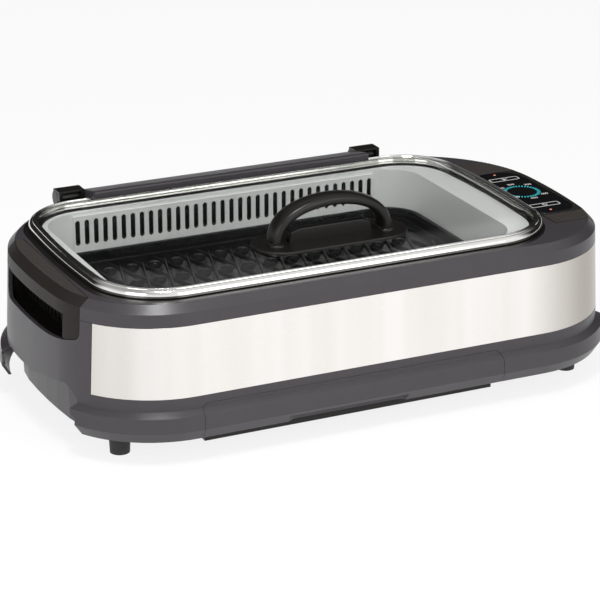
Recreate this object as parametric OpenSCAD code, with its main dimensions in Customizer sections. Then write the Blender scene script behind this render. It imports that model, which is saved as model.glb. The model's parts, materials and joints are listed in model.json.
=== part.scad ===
// Electric indoor grill with a hinged glass lid, a slide-out drip tray and a smoke fan.
// Millimetres. +X right, the front faces -Y, +Z up. The origin is at the middle of the base, on the table.

/* [Body] */
// Width of the body at the top of the steel band
body_w = 520; // [500:1:540]
// Depth of the body at the top of the steel band
body_d = 300; // [290:1:310]
// Radius of the two front corners
front_corner = 92; // [84:1:98]
// Radius of the two rear corners
rear_corner = 126; // [118:1:130]
// Radius of the gentle bow of each side
side_bow = 650; // [550:10:900]
// Thickness of the moulded walls
wall = 2.8; // [2.2:0.1:3.2]
// Height of the flat deck that the lid rests on
deck_z = 138.7; // [136:0.1:141]
// How far the deck edge is chamfered in
deck_chamfer = 7; // [5:0.5:9]
// How deep the lid sits in its recess of the deck
recess_depth = 1.2; // [0.8:0.1:1.4]
// Width of the recess in front of the lid
recess_front = 12; // [10:0.5:12.5]
// Width of the recess beside the lid's left edge
recess_left = 9; // [7:0.5:9.5]
// Height where the chamfer starts
edge_z = 132; // [130:0.5:133]
// How much wider the wall is at the foot of the steel band
wall_flare = 3; // [2:0.1:4]
// Gap left between two pieces that meet
seam = 0.3; // [0.25:0.05:0.4]

/* [Steel band] */
// Lower edge of the band
band_bottom_z = 58.5; // [56:0.5:60]
// Upper edge of the band
band_top_z = 120.5; // [118:0.5:122]
// Sheet thickness of the band
band_t = 0.8; // [0.6:0.1:1]
// Distance from the left side of the body to the end of the band
band_from_left = 20; // [12:1:30]
// Distance from the right side of the body to the end of the band
band_from_right = 16; // [14:1:28]

/* [Skirt] */
// Lowest edge of the skirt
skirt_bottom_z = 21.5; // [21:0.5:24]
// Height of the widest ridge
skirt_low_z = 31; // [29:0.5:33]
// Height of the upper ridge
skirt_mid_z = 44; // [42:0.5:45]
// Height where the skirt meets the wall
skirt_top_z = 47.7; // [47:0.1:49]
// How far the lowest edge stands out
skirt_bottom_out = 5; // [4:0.5:6]
// How far the widest ridge stands out
skirt_low_out = 10.8; // [10:0.1:12]
// How far the upper ridge stands out
skirt_mid_out = 9.5; // [8.5:0.1:10]
// Distance from the front of the body to the lifting arch
arch_from_front = 51; // [47:1:60]
// Distance from the rear of the body to the lifting arch
arch_from_rear = 102; // [94:1:110]
// Top of the lifting arch
arch_z = 49.4; // [48:0.1:52]
// Height of the arch at its front end
arch_peak = 61; // [58:0.5:61]
// Distance from the front of the body to the hand hole
hand_from_front = 70; // [66:1:80]
// Distance from the rear of the body to the hand hole
hand_from_rear = 100; // [94:1:110]
// Lower edge of the hand hole
hand_z = 94; // [90:1:100]
// Depth of the finger pocket behind the hand hole
hand_depth = 20; // [16:1:22]
// Distance from the front of the body to the seam of the side caps
cap_from_front = 50.3; // [48:0.1:54]
// Distance from the rear of the body to the rear seam of the left cap
left_cap_from_rear = 88.3; // [84:0.1:92]
// Distance from the rear of the body to the rear seam of the right cap
right_cap_from_rear = 62.3; // [58:0.1:66]
// Lower end of the side cap's front leg
leg_z = 104; // [102:1:108]
// Width of an air slot in the rear wall
rear_vent_w = 4; // [3:0.5:5]
// Distance from slot to slot in the rear wall
rear_vent_pitch = 12; // [9:0.5:14]

/* [Base pan] */
// Underside of the base pan, which is the height of the feet
pan_z = 20; // [18:0.5:21]
// How far the pan is set in from the body
pan_inset = 10; // [8:0.5:12]
// Thickness of the pan
pan_t = 2.5; // [2:0.1:3]
// Front feet, distance from the side of the body
foot_from_side = 43; // [42:1:50]
// Front feet, distance from the front of the body
foot_from_front = 44; // [43:1:50]
// Rear feet, distance from the side of the body
rear_foot_from_side = 65; // [60:1:72]
// Rear feet, distance from the rear of the body
rear_foot_from_rear = 52; // [48:1:58]
// Radius of a foot where it meets the pan
foot_r = 9.5; // [8:0.5:10]

/* [Cooking well] */
// Distance from the lid's left edge to the well
well_from_left = 19.5; // [18:0.5:22]
// Distance from the lid's right edge to the well, which leaves room for the air duct
well_from_right = 38.5; // [38:0.5:42]
// Distance from the lid's front edge to the well
well_from_front = 17; // [16.5:0.5:20]
// Distance from the lid's rear edge to the well
well_from_rear = 16; // [15.5:0.5:18]
// Corner radius of the well
well_r = 36; // [34:1:40]
// Sheet thickness of the steel liner
liner_t = 0.8; // [0.6:0.1:1]
// Floor of the liner
liner_z = 58; // [56:0.5:60]
// Distance from slot to slot
slot_pitch = 8.95; // [8:0.05:9]
// Width of a slot
slot_w = 4.6; // [3:0.1:5]
// Lower end of the slots
slot_z0 = 106; // [105:0.5:110]
// Upper end of the slots
slot_z1 = 130; // [124:0.5:131]

/* [Grill plate] */
// Gap between the plate and the well
plate_gap = 2; // [1.5:0.1:3]
// Underside of the plate
plate_z = 86; // [85:0.5:88]
// Thickness of the plate
plate_t = 4; // [3:0.5:5]
// Height of the rim above the underside
plate_rim_h = 15; // [12:1:17]
// Distance from dome to dome along a row
dome_pitch = 21.8; // [20:0.1:24]
// Distance from row to row
row_pitch = 39; // [38:0.5:40]
// Height of the domes above the plate
dome_h = 3.4; // [2:0.1:4]
// Height of the ridges above the plate
ridge_h = 2; // [1:0.1:2.5]

/* [Heating element] */
// Radius of the element's tube
element_r = 3.25; // [3:0.05:3.5]
// Height of the element's axis
element_z = 78; // [76:0.5:79]
// Distance between two neighbouring runs
run_pitch = 44; // [40:1:46]

/* [Drip tray] */
// Distance from the left front corner's end to the drawer
drawer_from_left = 6.5; // [4:0.5:12]
// Distance from the right front corner's end to the drawer
drawer_from_right = 46.5; // [40:0.5:52]
// Top of the drawer front
drawer_top_z = 51; // [50:0.5:52]
// Underside of the tray
tray_z = 14; // [12:0.5:16]
// Wall thickness of the tray
tray_t = 1.6; // [1.2:0.1:2]
// Height of the tray's side flanges
flange_z = 38; // [36:0.5:40]
// How far the tray slides out
tray_travel = 200; // [150:5:220]

/* [Lid] */
// Distance from the left side of the body to the lid
lid_from_left = 32.5; // [31:0.5:35]
// Distance from the right side of the body to the lid, which leaves room for the controls
lid_from_right = 57.5; // [56:0.5:60]
// Distance from the front and rear of the body to the lid
lid_from_edge = 21; // [20:0.5:22]
// Radius of the gentle bow of the lid's sides
lid_bow = 960; // [800:10:1100]
// Radius of the lid's front corners
lid_front_r = 64; // [60:1:66]
// Radius of the lid's rear corners
lid_rear_r = 56; // [54:1:57]
// Height of the steel rim
rim_h = 7.5; // [7:0.1:8]
// Sheet thickness of the steel rim
rim_t = 0.6; // [0.5:0.05:0.7]
// Thickness of the glass
glass_t = 4; // [3.8:0.1:4.1]
// How far the middle of the glass stands above its edge
dome_rise = 7; // [5:0.5:8]

/* [Handle] */
// Distance from the lid's front edge to the handle
handle_from_front = 43; // [42:1:54]
// Distance from foot to foot of the arch
handle_span = 104; // [96:1:110]
// Rise of the arch above its base plate
handle_rise = 38.5; // [34:0.5:42]
// Width of the arch, front to back
arch_w = 20; // [16:1:22]
// Thickness of the arch
arch_t = 10; // [8:0.5:11]

/* [Hinge] */
// Height of the hinge axis above the deck
axis_up = 1.3; // [1.2:0.1:1.6]
// Distance of the hinge axis behind the body
axis_behind = 3; // [2.8:0.1:3.2]
// Distance from the lid's side to the end of the hinge bar
bar_from_side = 76; // [72:1:84]
// Width of a hinge ear
ear_w = 24.5; // [22:0.5:26]
// Radius of the hinge pins
pin_r = 3; // [2.5:0.1:3.2]
// Radial running clearance of pins and shafts
run_fit = 0.05; // [0.03:0.01:0.08]

/* [Smoke fan] */
// Distance of the fan axis in front of the middle
fan_y = 15; // [10:1:20]
// Height of the fan axis
fan_z = 88; // [86:1:90]
// Radius of the fan blades
fan_r = 36; // [32:1:37]
// Number of fan blades
blade_count = 7; // [5:1:9]
// Radius of the fan shaft
shaft_r = 2; // [1.5:0.1:2.5]

/* [Controls] */
// Distance from the right side of the body to the middle of the control lens
lens_from_side = 33.5; // [33:0.1:34]
// Middle of the control lens, in front of the middle
lens_y = 12; // [8:1:16]
// Length of the control lens
lens_l = 124; // [116:1:126]
// Width of the control lens
lens_w = 41; // [39:0.5:41]
// Radius of the ring of light
ring_r = 15.5; // [13:0.5:16]

/* [Hidden] */
$fn = 48;
corner_steps = 9;
bow_steps = 4;
eps = 0.01;
far = 400;
lid_w = body_w - lid_from_left - lid_from_right;
lid_d = body_d - 2 * lid_from_edge;
lid_x = (lid_from_left - lid_from_right) / 2;
well_w = lid_w - well_from_left - well_from_right;
well_x = lid_x + (well_from_left - well_from_right) / 2;
well_front = lid_d / 2 - well_from_front;
well_rear = lid_d / 2 - well_from_rear;
well_y = (well_rear - well_front) / 2;
well_d = well_rear + well_front;
slot_count = floor((well_w - 2 * well_r - slot_w) / slot_pitch) + 1;
foot_x = body_w / 2 - foot_from_side;
foot_y = body_d / 2 - foot_from_front;
rear_foot_x = body_w / 2 - rear_foot_from_side;
rear_foot_y = body_d / 2 - rear_foot_from_rear;
arch_front = body_d / 2 - arch_from_front;
arch_rear = body_d / 2 - arch_from_rear;
hand_front = body_d / 2 - hand_from_front;
hand_rear = body_d / 2 - hand_from_rear;
straight_half = body_w / 2 - front_corner;
drawer_w = 2 * straight_half - drawer_from_left - drawer_from_right;
tray_x = (drawer_from_left - drawer_from_right) / 2;
tray_half = drawer_w / 2 - 5;
deck_t = wall;
lip_t = 2.5;
lip_z = deck_z - deck_t - lip_t;
lip_edge = 11.3;
recess_z = deck_z - recess_depth;
lid_gap = 2.5;
flange_top_z = deck_z - deck_t + seam + liner_t;
axis_y = body_d / 2 + axis_behind;
axis_z = deck_z + axis_up;
bar_half = lid_w / 2 - bar_from_side;
handle_y = lid_d / 2 - handle_from_front;
rim_z0 = recess_z + seam;
rim_z1 = rim_z0 + rim_h;
glass_z = rim_z1 - rim_t - 0.1 - glass_t;
glass_top = glass_z + glass_t + dome_rise;
lens_x = body_w / 2 - lens_from_side;
fan_bore = fan_r + 1.5;
fan_half = fan_bore + 4;

// The points of an arc from angle a0 to a1
function arc(c, r, a0, a1, n) = [for (i = [0:n]) let (t = a0 + (a1 - a0) * i / n) c + r * [cos(t), sin(t)]];
function inner(list) = [for (i = [1:len(list) - 2]) list[i]];
function backward(list) = [for (i = [len(list) - 1:-1:0]) list[i]];

// A rounded rectangle with straight front and back, bowed sides and separate corner radii, grown by off
function bowed(w, d, bow, rf, rr, off) =
    let (a = w / 2 + off, b = d / 2 + off, s = bow + off, f = rf + off, r = rr + off,
        hf = sqrt(pow(s - f, 2) - pow(b - f, 2)), hr = sqrt(pow(s - r, 2) - pow(b - r, 2)),
        tf = atan2(b - f, hf), tr = atan2(b - r, hr),
        half = concat(arc([a - s + hf, f - b], f, -90, -tf, corner_steps),
            inner(arc([a - s, 0], s, -tf, tr, bow_steps)),
            arc([a - s + hr, b - r], r, tr, 90, corner_steps)))
    concat(half, [for (p = backward(half)) [-p.x, p.y]]);
body_line = function(off) bowed(body_w, body_d, side_bow, front_corner, rear_corner, off);
lid_line = function(off)
    [for (p = bowed(lid_w, lid_d, lid_bow, lid_front_r, lid_rear_r, off)) p + [lid_x, 0]];

// A closed profile of [offset, height] points swept once round an outline
module swept_ring(profile, line) {
    n = len(line(0));
    m = len(profile);
    points = [for (p = profile) for (q = line(p.x)) [q.x, q.y, p.y]];
    faces = [for (i = [0:m - 1]) for (j = [0:n - 1])
        let (i2 = (i + 1) % m, j2 = (j + 1) % n,
            a = i * n + j, b = i * n + j2, c = i2 * n + j2, d = i2 * n + j)
        each [[a, d, c], [a, c, b]]];
    polyhedron(points, faces);
}

// A solid through a stack of [offset, height] outlines, lowest first
module stacked(stack, line) {
    n = len(line(0));
    m = len(stack);
    points = [for (p = stack) for (q = line(p.x)) [q.x, q.y, p.y]];
    sides = [for (i = [0:m - 2]) for (j = [0:n - 1])
        let (j2 = (j + 1) % n, a = i * n + j, b = i * n + j2, c = (i + 1) * n + j2, d = (i + 1) * n + j)
        each [[a, d, c], [a, c, b]]];
    caps = [[for (j = [0:n - 1]) j], [for (j = [n - 1:-1:0]) (m - 1) * n + j]];
    polyhedron(points, concat(sides, caps));
}

module slab(line, off, z0, z1) {
    translate([0, 0, z0]) linear_extrude(z1 - z0) polygon(line(off));
}

// A rounded rectangle with true arcs
module rounded(w, d, r) {
    square([w - 2 * r, d], center = true);
    square([w, d - 2 * r], center = true);
    for (x = [-1, 1], y = [-1, 1]) translate([x * (w / 2 - r), y * (d / 2 - r)]) circle(r);
}

module block(low, high) {
    translate(low) cube(high - low);
}

module along_x(x0, x1, y, z, r) {
    translate([x0, y, z]) rotate([0, 90, 0]) cylinder(x1 - x0, r = r);
}

module along_y(y0, y1, x, z, r) {
    translate([x, y0, z]) rotate([-90, 0, 0]) cylinder(y1 - y0, r = r);
}

module post(x, y, z0, z1, r) {
    translate([x, y, z0]) cylinder(z1 - z0, r = r);
}

// A pan head screw that points up and bears on a face at height seat
module screw_up(x, y, seat, length, r) {
    post(x, y, seat - 1.1 * r, seat, 2 * r);
    post(x, y, seat, seat + length, r);
}

// The same screw pointing down
module screw_down(x, y, seat, length, r) {
    post(x, y, seat, seat + 1.1 * r, 2 * r);
    post(x, y, seat - length, seat, r);
}

// Base shells

band_pocket = band_t + 0.25;
pan_flange_z = arch_peak + 0.6;
cap_z0 = band_top_z + seam;
cap_front = cap_from_front - body_d / 2;
left_cap = [lid_x - lid_w / 2 - recess_left - 1.5, cap_front, body_d / 2 - left_cap_from_rear];
right_cap = [lid_x + lid_w / 2 + lid_gap, cap_front, body_d / 2 - right_cap_from_rear];
rear_wall = body_d / 2 - 10;
inlet_x = body_w / 2 - 150;
rear_vent_count = 14;
rear_vent_x = inlet_x - 140 - rear_vent_count * rear_vent_pitch / 2;
inlet_z = 78;
inlet_size = [28, 21];

function flare(z) = wall_flare * (band_top_z - z) / (band_top_z - band_bottom_z);

// Six long screws hold pan, housing and bezel together: four in the corners, two in the middle
screw_in = 6.5;
screw_r = 1.5;
function corner_x(r) = body_w / 2 - side_bow + sqrt(pow(side_bow - r, 2) - pow(body_d / 2 - r, 2));
function corner_screw(r) = [corner_x(r), body_d / 2 - r] + (r - screw_in) * [cos(45), sin(45)];
screw_points = [for (sx = [-1, 1]) each [
    [sx * corner_screw(front_corner).x, -corner_screw(front_corner).y],
    [sx * corner_screw(rear_corner).x, corner_screw(rear_corner).y],
    [0, sx * (body_d / 2 - screw_in)]]];
module body_posts(z0, z1, r) {
    for (p = screw_points) post(p.x, p.y, z0, z1, r);
}

// The lifting arch, drawn in the side view and cut through both sides
module side_arch() {
    low = pan_z - 15;
    front = -arch_front;
    span = arch_front + arch_rear;
    rotate([90, 0, 90]) translate([0, 0, -far]) linear_extrude(2 * far)
        polygon([[front - 6, low], [front - 6, skirt_low_z + 5], [front, skirt_low_z + 10], [front, arch_z],
            [front + 0.04 * span, arch_peak - 4], [front + 0.095 * span, arch_peak],
            [front + 0.16 * span, arch_peak - 1], [front + 0.3 * span, (arch_peak + arch_z) / 2 + 1],
            [front + 0.52 * span, arch_z + 0.6], [front + 0.75 * span, arch_z - 0.4],
            [arch_rear - 10, arch_z], [arch_rear, arch_z - 4], [arch_rear + 2, skirt_low_z + 9],
            [arch_rear - 4, skirt_low_z + 3], [arch_rear - 4, low]]);
}

module hand_holes() {
    r = 8;
    rotate([90, 0, 90]) translate([0, 0, -far]) linear_extrude(2 * far) {
        translate([-hand_front, hand_z + r]) square([hand_front + hand_rear, band_top_z - hand_z]);
        translate([r - hand_front, hand_z]) square([hand_front + hand_rear - 2 * r, 2 * r]);
        for (y = [r - hand_front, hand_rear - r]) translate([y, hand_z + r]) circle(r);
    }
}

module drawer_hole(gap) {
    r = 7;
    half = drawer_w / 2 + gap;
    top = drawer_top_z + gap;
    translate([tray_x, 0, 0]) rotate([90, 0, 0]) linear_extrude(far) {
        translate([-half, 0]) square([2 * half, top - r]);
        translate([r - half, 0]) square([2 * half - 2 * r, top]);
        for (x = [r - half, half - r]) translate([x, top - r]) circle(r);
    }
}

module base_housing() {
    color("#57555c") difference() {
        union() {
            swept_ring([[skirt_bottom_out, skirt_bottom_z], [skirt_low_out, skirt_low_z],
                [skirt_mid_out, skirt_mid_z], [wall_flare, skirt_top_z], [wall_flare, band_bottom_z],
                [wall_flare - band_pocket, band_bottom_z], [-band_pocket, band_top_z],
                [-band_pocket - wall, band_top_z], [wall_flare - band_pocket - wall, band_bottom_z],
                [wall_flare - wall, skirt_top_z - 1], [skirt_mid_out - wall, skirt_mid_z - 1.5],
                [skirt_low_out - wall, skirt_low_z], [skirt_bottom_out - wall + 0.2, skirt_bottom_z]],
                body_line);
            difference() {
                swept_ring([[wall_flare, band_bottom_z], [0, band_top_z], [-2, band_top_z],
                    [wall_flare - 2, band_bottom_z]], body_line);
                block([band_from_left - body_w / 2 - seam, -far, 0],
                    [body_w / 2 - band_from_right + seam, 0, far]);
            }
            body_posts(pan_flange_z + pan_t, cap_z0 - seam, 4.5);
        }
        body_posts(0, far, screw_r + 0.2);
        side_arch();
        hand_holes();
        for (s = [[-1, left_cap[1]], [1, right_cap[1]]])
            translate([s[0] * far / 2, 0, 0])
                block([-far / 4, s[1] - seam, leg_z - seam], [far / 4, 0, far]);
        drawer_hole(seam);
        block([inlet_x - inlet_size.x / 2 - seam, rear_wall, inlet_z - inlet_size.y / 2 - seam],
            [inlet_x + inlet_size.x / 2 + seam, far, inlet_z + inlet_size.y / 2 + seam]);
        for (i = [0:rear_vent_count - 1]) translate([rear_vent_x + i * rear_vent_pitch, 0, 0])
            block([0, rear_wall + 5, inlet_z - 10], [rear_vent_w, far, inlet_z + 12]);
    }
}

// The power board stands on four posts of the pan
board_at = [body_w / 2 - 58, -fan_y + fan_half + 35.5];
board_post = [12, 22];
power_z = liner_z - 2 + seam;
module power_posts(z0, z1, r) {
    for (sx = [-1, 1], sy = [-1, 1])
        post(board_at.x + sx * board_post.x, board_at.y + sy * board_post.y, z0, z1, r);
}

module foot_posts(z0, z1, r) {
    for (s = [-1, 1]) {
        post(s * foot_x, -foot_y, z0, z1, r);
        post(s * rear_foot_x, rear_foot_y, z0, z1, r);
    }
}

// The drawer runs on two bent rails that are screwed to the pan
rail_x = drawer_w / 2 + 1;
rail_front = pan_inset + pan_t + 5.5 - body_d / 2;
rail_rear = well_rear - 5;
rail_foot = 12;
module rail_posts(z0, z1, r) {
    for (s = [-1, 1], y = [rail_front + 20, rail_rear - 20]) post(tray_x + s * (rail_x + 7), y, z0, z1, r);
}

module bottom_pan() {
    bay = drawer_w / 2 + 2.8;
    color("#2b2a2d") difference() {
        union() {
            slab(body_line, -pan_inset, pan_z, pan_flange_z + pan_t);
            slab(body_line, -1.3, pan_flange_z, pan_flange_z + pan_t - seam);
        }
        difference() {
            slab(body_line, -pan_inset - pan_t, pan_z + pan_t, far);
            foot_posts(0, pan_z + 12, 6);
            power_posts(0, power_z - seam, 3.5);
        }
        block([tray_x - bay, -far, 0], [tray_x + bay, well_rear, drawer_top_z - 6]);
        foot_posts(0, pan_z + 20, 2.05);
        power_posts(liner_z - 12, far, 1.3);
        rail_posts(0, pan_z + 5, 1.25);
        body_posts(0, far, screw_r + 0.2);
    }
}

module body_screws() {
    color("#b5b5b8") for (p = screw_points)
        screw_up(p.x, p.y, pan_flange_z, cap_z0 + 9 - pan_flange_z, screw_r);
}

module steel_band() {
    color("#e4e0da") intersection() {
        swept_ring([[wall_flare - band_t, band_bottom_z + 0.2], [wall_flare, band_bottom_z + 0.2],
            [0, band_top_z], [-band_t, band_top_z]], body_line);
        block([band_from_left - body_w / 2, -far, 0], [body_w / 2 - band_from_right, 0, far]);
    }
}

// The moulded top shell, from height z0 up, before it is split into frame and side caps
module top_shell(z0) {
    difference() {
        stacked(concat(z0 < band_top_z ? [[flare(z0), z0]] : [],
            [[0, cap_z0], [-0.6, edge_z], [-deck_chamfer, deck_z]]), body_line);
        stacked([[flare(z0) - wall, z0 - 1], [-wall - 0.3, cap_z0], [-wall - 0.8, edge_z - 1.4],
            [-deck_chamfer - 1.2, deck_z - deck_t]], body_line);
    }
}

module cap_region(cap, side, gap) {
    x = abs(cap[0]) - gap;
    mirror([side < 0 ? 1 : 0, 0, 0]) {
        block([x, cap[1] - gap, cap_z0 - gap], [far, cap[2] + gap, far]);
        block([x, cap[1] - gap, leg_z - gap], [far, -hand_front, far]);
    }
}

// The lens is rounder on the outer side than beside the lid
module lens_line(grow) {
    w = lens_w + 2 * grow;
    l = lens_l + 2 * grow;
    translate([lens_x, -lens_y]) {
        intersection() {
            rounded(w, l, 9 + grow);
            translate([-w, -l]) square([w, 2 * l]);
        }
        intersection() {
            rounded(w, l, lens_w / 2 + grow - eps);
            translate([-eps, -l]) square([w, 2 * l]);
        }
    }
}

// The shallow recess that the lid sits in is wider in front and on the left
module lid_recess() {
    grow = lid_gap + 1.5;
    slab(lid_line, lid_gap, recess_z, far);
    translate([grow - recess_left, grow - recess_front, 0]) slab(lid_line, grow, recess_z, far);
}

module upper_bezel() {
    color("#46444a") {
        difference() {
            union() {
                top_shell(cap_z0);
                body_posts(cap_z0, deck_z - deck_t - 1, 4);
            }
            slab(lid_line, -10, lip_z - 10, far);
            lid_recess();
            cap_region(left_cap, -1, seam);
            cap_region(right_cap, 1, seam);
            hinge_screw_holes(1.55);
            body_posts(0, cap_z0 + 10, screw_r);
        }
        swept_ring([[-6, lip_z], [-6, deck_z - deck_t + 0.5], [-10, deck_z - deck_t + 0.5],
            [-10, deck_z - deck_t], [-lip_edge, deck_z - deck_t], [-lip_edge, lip_z]], lid_line);
    }
}

module left_side_cap() {
    color("#3c3a3e") intersection() {
        top_shell(leg_z);
        cap_region(left_cap, -1, 0);
    }
}

board_z = deck_z - 9.7;
board_t = 1.3;
board_screw_y = lens_l / 2 - 26;
module board_posts(r, z0, z1) {
    for (s = [-1, 1]) post(lens_x + 9, s * board_screw_y - lens_y, z0, z1, r);
}

lens_t = 1.9;
lens_seat = deck_z + 0.5 - lens_t;
module right_side_cap() {
    color("#3c3a3e") difference() {
        union() {
            intersection() {
                top_shell(leg_z);
                cap_region(right_cap, 1, 0);
            }
            board_posts(3, board_z + board_t + seam, deck_z - deck_t + 0.4);
        }
        translate([0, 0, lens_seat]) linear_extrude(5) lens_line(0.25);
        translate([0, 0, deck_z - 5]) linear_extrude(5) difference() {
            lens_line(-0.7);
            for (s = [-1, 1]) translate([lens_x + 11, s * board_screw_y - lens_y])
                square([14, 12], center = true);
        }
        board_posts(1, board_z, lens_seat - 0.6);
    }
}

// A finger pocket behind the hand hole: four walls and a slotted back
module vent_grille(side) {
    t = 2;
    back = body_w / 2 - hand_depth;
    mirror([side < 0 ? 1 : 0, 0, 0]) difference() {
        intersection() {
            stacked([[-4.2, hand_z - t], [-4.2, band_top_z]], body_line);
            block([back, -hand_front - t, hand_z - t], [far, hand_rear + t, band_top_z - 0.5]);
        }
        block([back + t, -hand_front, hand_z], [far, hand_rear, band_top_z - 0.5 - t]);
        for (i = [0:13]) block([0, -hand_front + 5 + 9 * i, hand_z + 2],
            [far, -hand_front + 9.5 + 9 * i, band_top_z - 5]);
    }
}

module left_vent_grille() {
    color("#232225") vent_grille(-1);
}

module right_vent_grille() {
    color("#232225") vent_grille(1);
}

// Cooking well

slot_half = (slot_count - 1) / 2 * slot_pitch + slot_w / 2;
drip_half = tray_half - 6.5;
drip_y = well_d / 2 - 22.5;
bush_r = 6;

module well_line(off) {
    translate([well_x, well_y]) rounded(well_w + 2 * off, well_d + 2 * off, well_r + off);
}

module terminal_holes(r) {
    x = well_x - well_w / 2;
    for (y = [-1, 1]) along_x(x - 6, x + 6, 1.5 * y * run_pitch, element_z, r);
}

module inner_liner() {
    color("#c9c9cb") difference() {
        union() {
            translate([0, 0, liner_z]) linear_extrude(flange_top_z - liner_z) well_line(liner_t);
            slab(lid_line, -10.3, flange_top_z - liner_t, flange_top_z);
        }
        translate([0, 0, liner_z + liner_t]) linear_extrude(far) well_line(0);
        block([tray_x - drip_half, -drip_y, 0], [tray_x + drip_half, drip_y, liner_z + 5]);
        block([well_x - slot_half - 0.4, well_rear - 10, slot_z0 - 1.5],
            [well_x + slot_half + 0.4, well_rear + 10, slot_z1 + 1.5]);
        terminal_holes(bush_r + 0.2);
    }
}

module rear_air_grille() {
    t = 1.2;
    color("#d4d3d3") translate([well_x, well_rear - seam, 0])
    rotate([90, 0, 0]) linear_extrude(t) difference() {
        translate([-slot_half - 1.5, slot_z0 - 7]) square([2 * slot_half + 3, slot_z1 - slot_z0 + 11]);
        for (i = [0:slot_count - 1]) translate([(i - (slot_count - 1) / 2) * slot_pitch, 0]) {
            translate([-slot_w / 2, slot_z0 + 1]) square([slot_w, slot_z1 - slot_z0 - 2]);
            translate([1 - slot_w / 2, slot_z0]) square([slot_w - 2, slot_z1 - slot_z0]);
        }
    }
}

duct_t = 1.2;
duct_x0 = well_x + well_w / 2 + 2;
duct_x1 = duct_x0 + 16;
duct_y1 = well_rear + 19;
duct_left = well_x - slot_half - 3;
duct_z0 = slot_z0 - 5;
duct_z1 = slot_z1 + 3;
fan_box = fan_r + 6;

// The duct's outer or inner shape: along the rear wall, forward beside the well, and down to the fan
module duct_body(in) {
    block([duct_left + in, well_rear + liner_t + seam + in, duct_z0 + in],
        [duct_x1 - in, duct_y1 - in, duct_z1 - in]);
    block([duct_x0 + in, -fan_y, duct_z0 + in], [duct_x1 - in, duct_y1 - in, duct_z1 - in]);
    block([duct_x0 + in, -fan_y - fan_box + in, fan_z - fan_box + in],
        [duct_x1 - in, -fan_y + fan_box - in, duct_z1 - in]);
}

module air_duct() {
    color("#8d8d90") difference() {
        duct_body(0);
        duct_body(duct_t);
        block([duct_left + duct_t, well_rear - 5, duct_z0 + duct_t],
            [well_x + slot_half + 1.5, duct_y1 - duct_t, duct_z1 - duct_t]);
        along_x(duct_x1 - 5, duct_x1 + 5, -fan_y, fan_z, fan_r + 1.5);
        fan_posts(duct_x1 - 5, duct_x1 + 5, 1.3);
    }
}

plate_w = well_w - 2 * plate_gap;
plate_d = well_d - 2 * plate_gap - 1.5;
plate_r = well_r - plate_gap;
plate_y = well_y - 0.75;
module plate_line(off) {
    rounded(plate_w + 2 * off, plate_d + 2 * off, plate_r + off);
}

module grill_plate() {
    top = plate_z + plate_t;
    rim = 5;
    field = [plate_w - 2 * rim - 18, plate_d - 2 * rim - 6];
    rows = floor(field.y / row_pitch + 0.5);
    columns = floor(field.x / dome_pitch);
    lean = atan2(dome_pitch / 2, row_pitch);
    color("#1d1d1f") translate([well_x, plate_y, 0]) {
        difference() {
            union() {
                translate([0, 0, plate_z]) linear_extrude(plate_t) plate_line(0);
                translate([0, 0, plate_z]) linear_extrude(plate_rim_h) difference() {
                    plate_line(0);
                    plate_line(-rim);
                }
                intersection() {
                    translate([0, 0, top - 1]) linear_extrude(1 + ridge_h) square(field, center = true);
                    for (s = [-1, 1], i = [-columns / 2 - 3:columns / 2 + 3])
                        translate([i * dome_pitch, 0, top]) rotate([0, 0, s * lean])
                            cube([2.6, 1.2 * field.y, 2 * ridge_h], center = true);
                }
            }
            for (s = [-1, 1], i = [-6:6])
                translate([i * 26 - 8, s * (plate_d / 2 - rim - 5) - 1.6, plate_z - 1])
                    cube([16, 3.2, plate_t + 2]);
        }
        for (j = [0:rows - 1], i = [0:columns - 1 - j % 2])
            translate([dome_pitch * (i - (columns - 1 - j % 2) / 2), row_pitch * (j - (rows - 1) / 2),
                top - 0.5])
                cylinder(dome_h + 0.5, r1 = 6.4, r2 = 4);
        for (x = [-1, 1], y = [-1, 1])
            translate([x * (plate_w / 2 - 32), y * (plate_d / 2 - 13.75) - plate_y, liner_z + liner_t + seam])
                cylinder(plate_z - liner_z - liner_t, r = 5);
    }
}

element_left = well_x - well_w / 2 + 40;
element_right = well_x + well_w / 2 - 46;
module half_turn(x, y, side) {
    translate([x, y, element_z]) rotate([0, 0, side > 0 ? -90 : 90])
        rotate_extrude(angle = 180) translate([run_pitch / 2, 0]) circle(element_r);
}

module heating_element() {
    end = well_x - well_w / 2 - 16;
    color("#4a4644") {
        for (y = [-1, 1]) {
            along_x(end, element_right, 1.5 * y * run_pitch, element_z, element_r);
            along_x(element_left, element_right, 0.5 * y * run_pitch, element_z, element_r);
            half_turn(element_right, y * run_pitch, 1);
        }
        half_turn(element_left, 0, -1);
    }
}

module element_brackets() {
    half = drip_y + 14;
    color("#a9a9ac") for (x = [-well_w / 6, well_w / 6]) translate([well_x + x - 0.8, 0, 0]) difference() {
        block([0, -half, liner_z + liner_t + seam], [1.6, half, element_z]);
        for (y = [-1.5, -0.5, 0.5, 1.5]) along_x(-5, 5, y * run_pitch, element_z, element_r + seam);
        block([-5, -drip_y + 4, 0], [5, drip_y - 4, liner_z + 5]);
    }
}

module element_bushes() {
    x = well_x - well_w / 2 - liner_t;
    color("#e8e2d6") for (y = [-1, 1]) difference() {
        union() {
            along_x(x - 8, x + 5, 1.5 * y * run_pitch, element_z, bush_r);
            along_x(x - 3.3, x - 0.3, 1.5 * y * run_pitch, element_z, bush_r + 3);
        }
        along_x(x - 20, x + 20, 1.5 * y * run_pitch, element_z, element_r + 0.2);
    }
}

module thermostat() {
    x = well_x - well_w / 2 - liner_t - seam;
    color("#3a2f28") {
        along_x(x - 3, x, -20, 92, 9);
        along_x(x - 13, x - 3, -20, 92, 7);
        block([x - 18, -23, 90.5], [x - 13, -22, 93.5]);
        block([x - 18, -18, 90.5], [x - 13, -17, 93.5]);
    }
}

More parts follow.
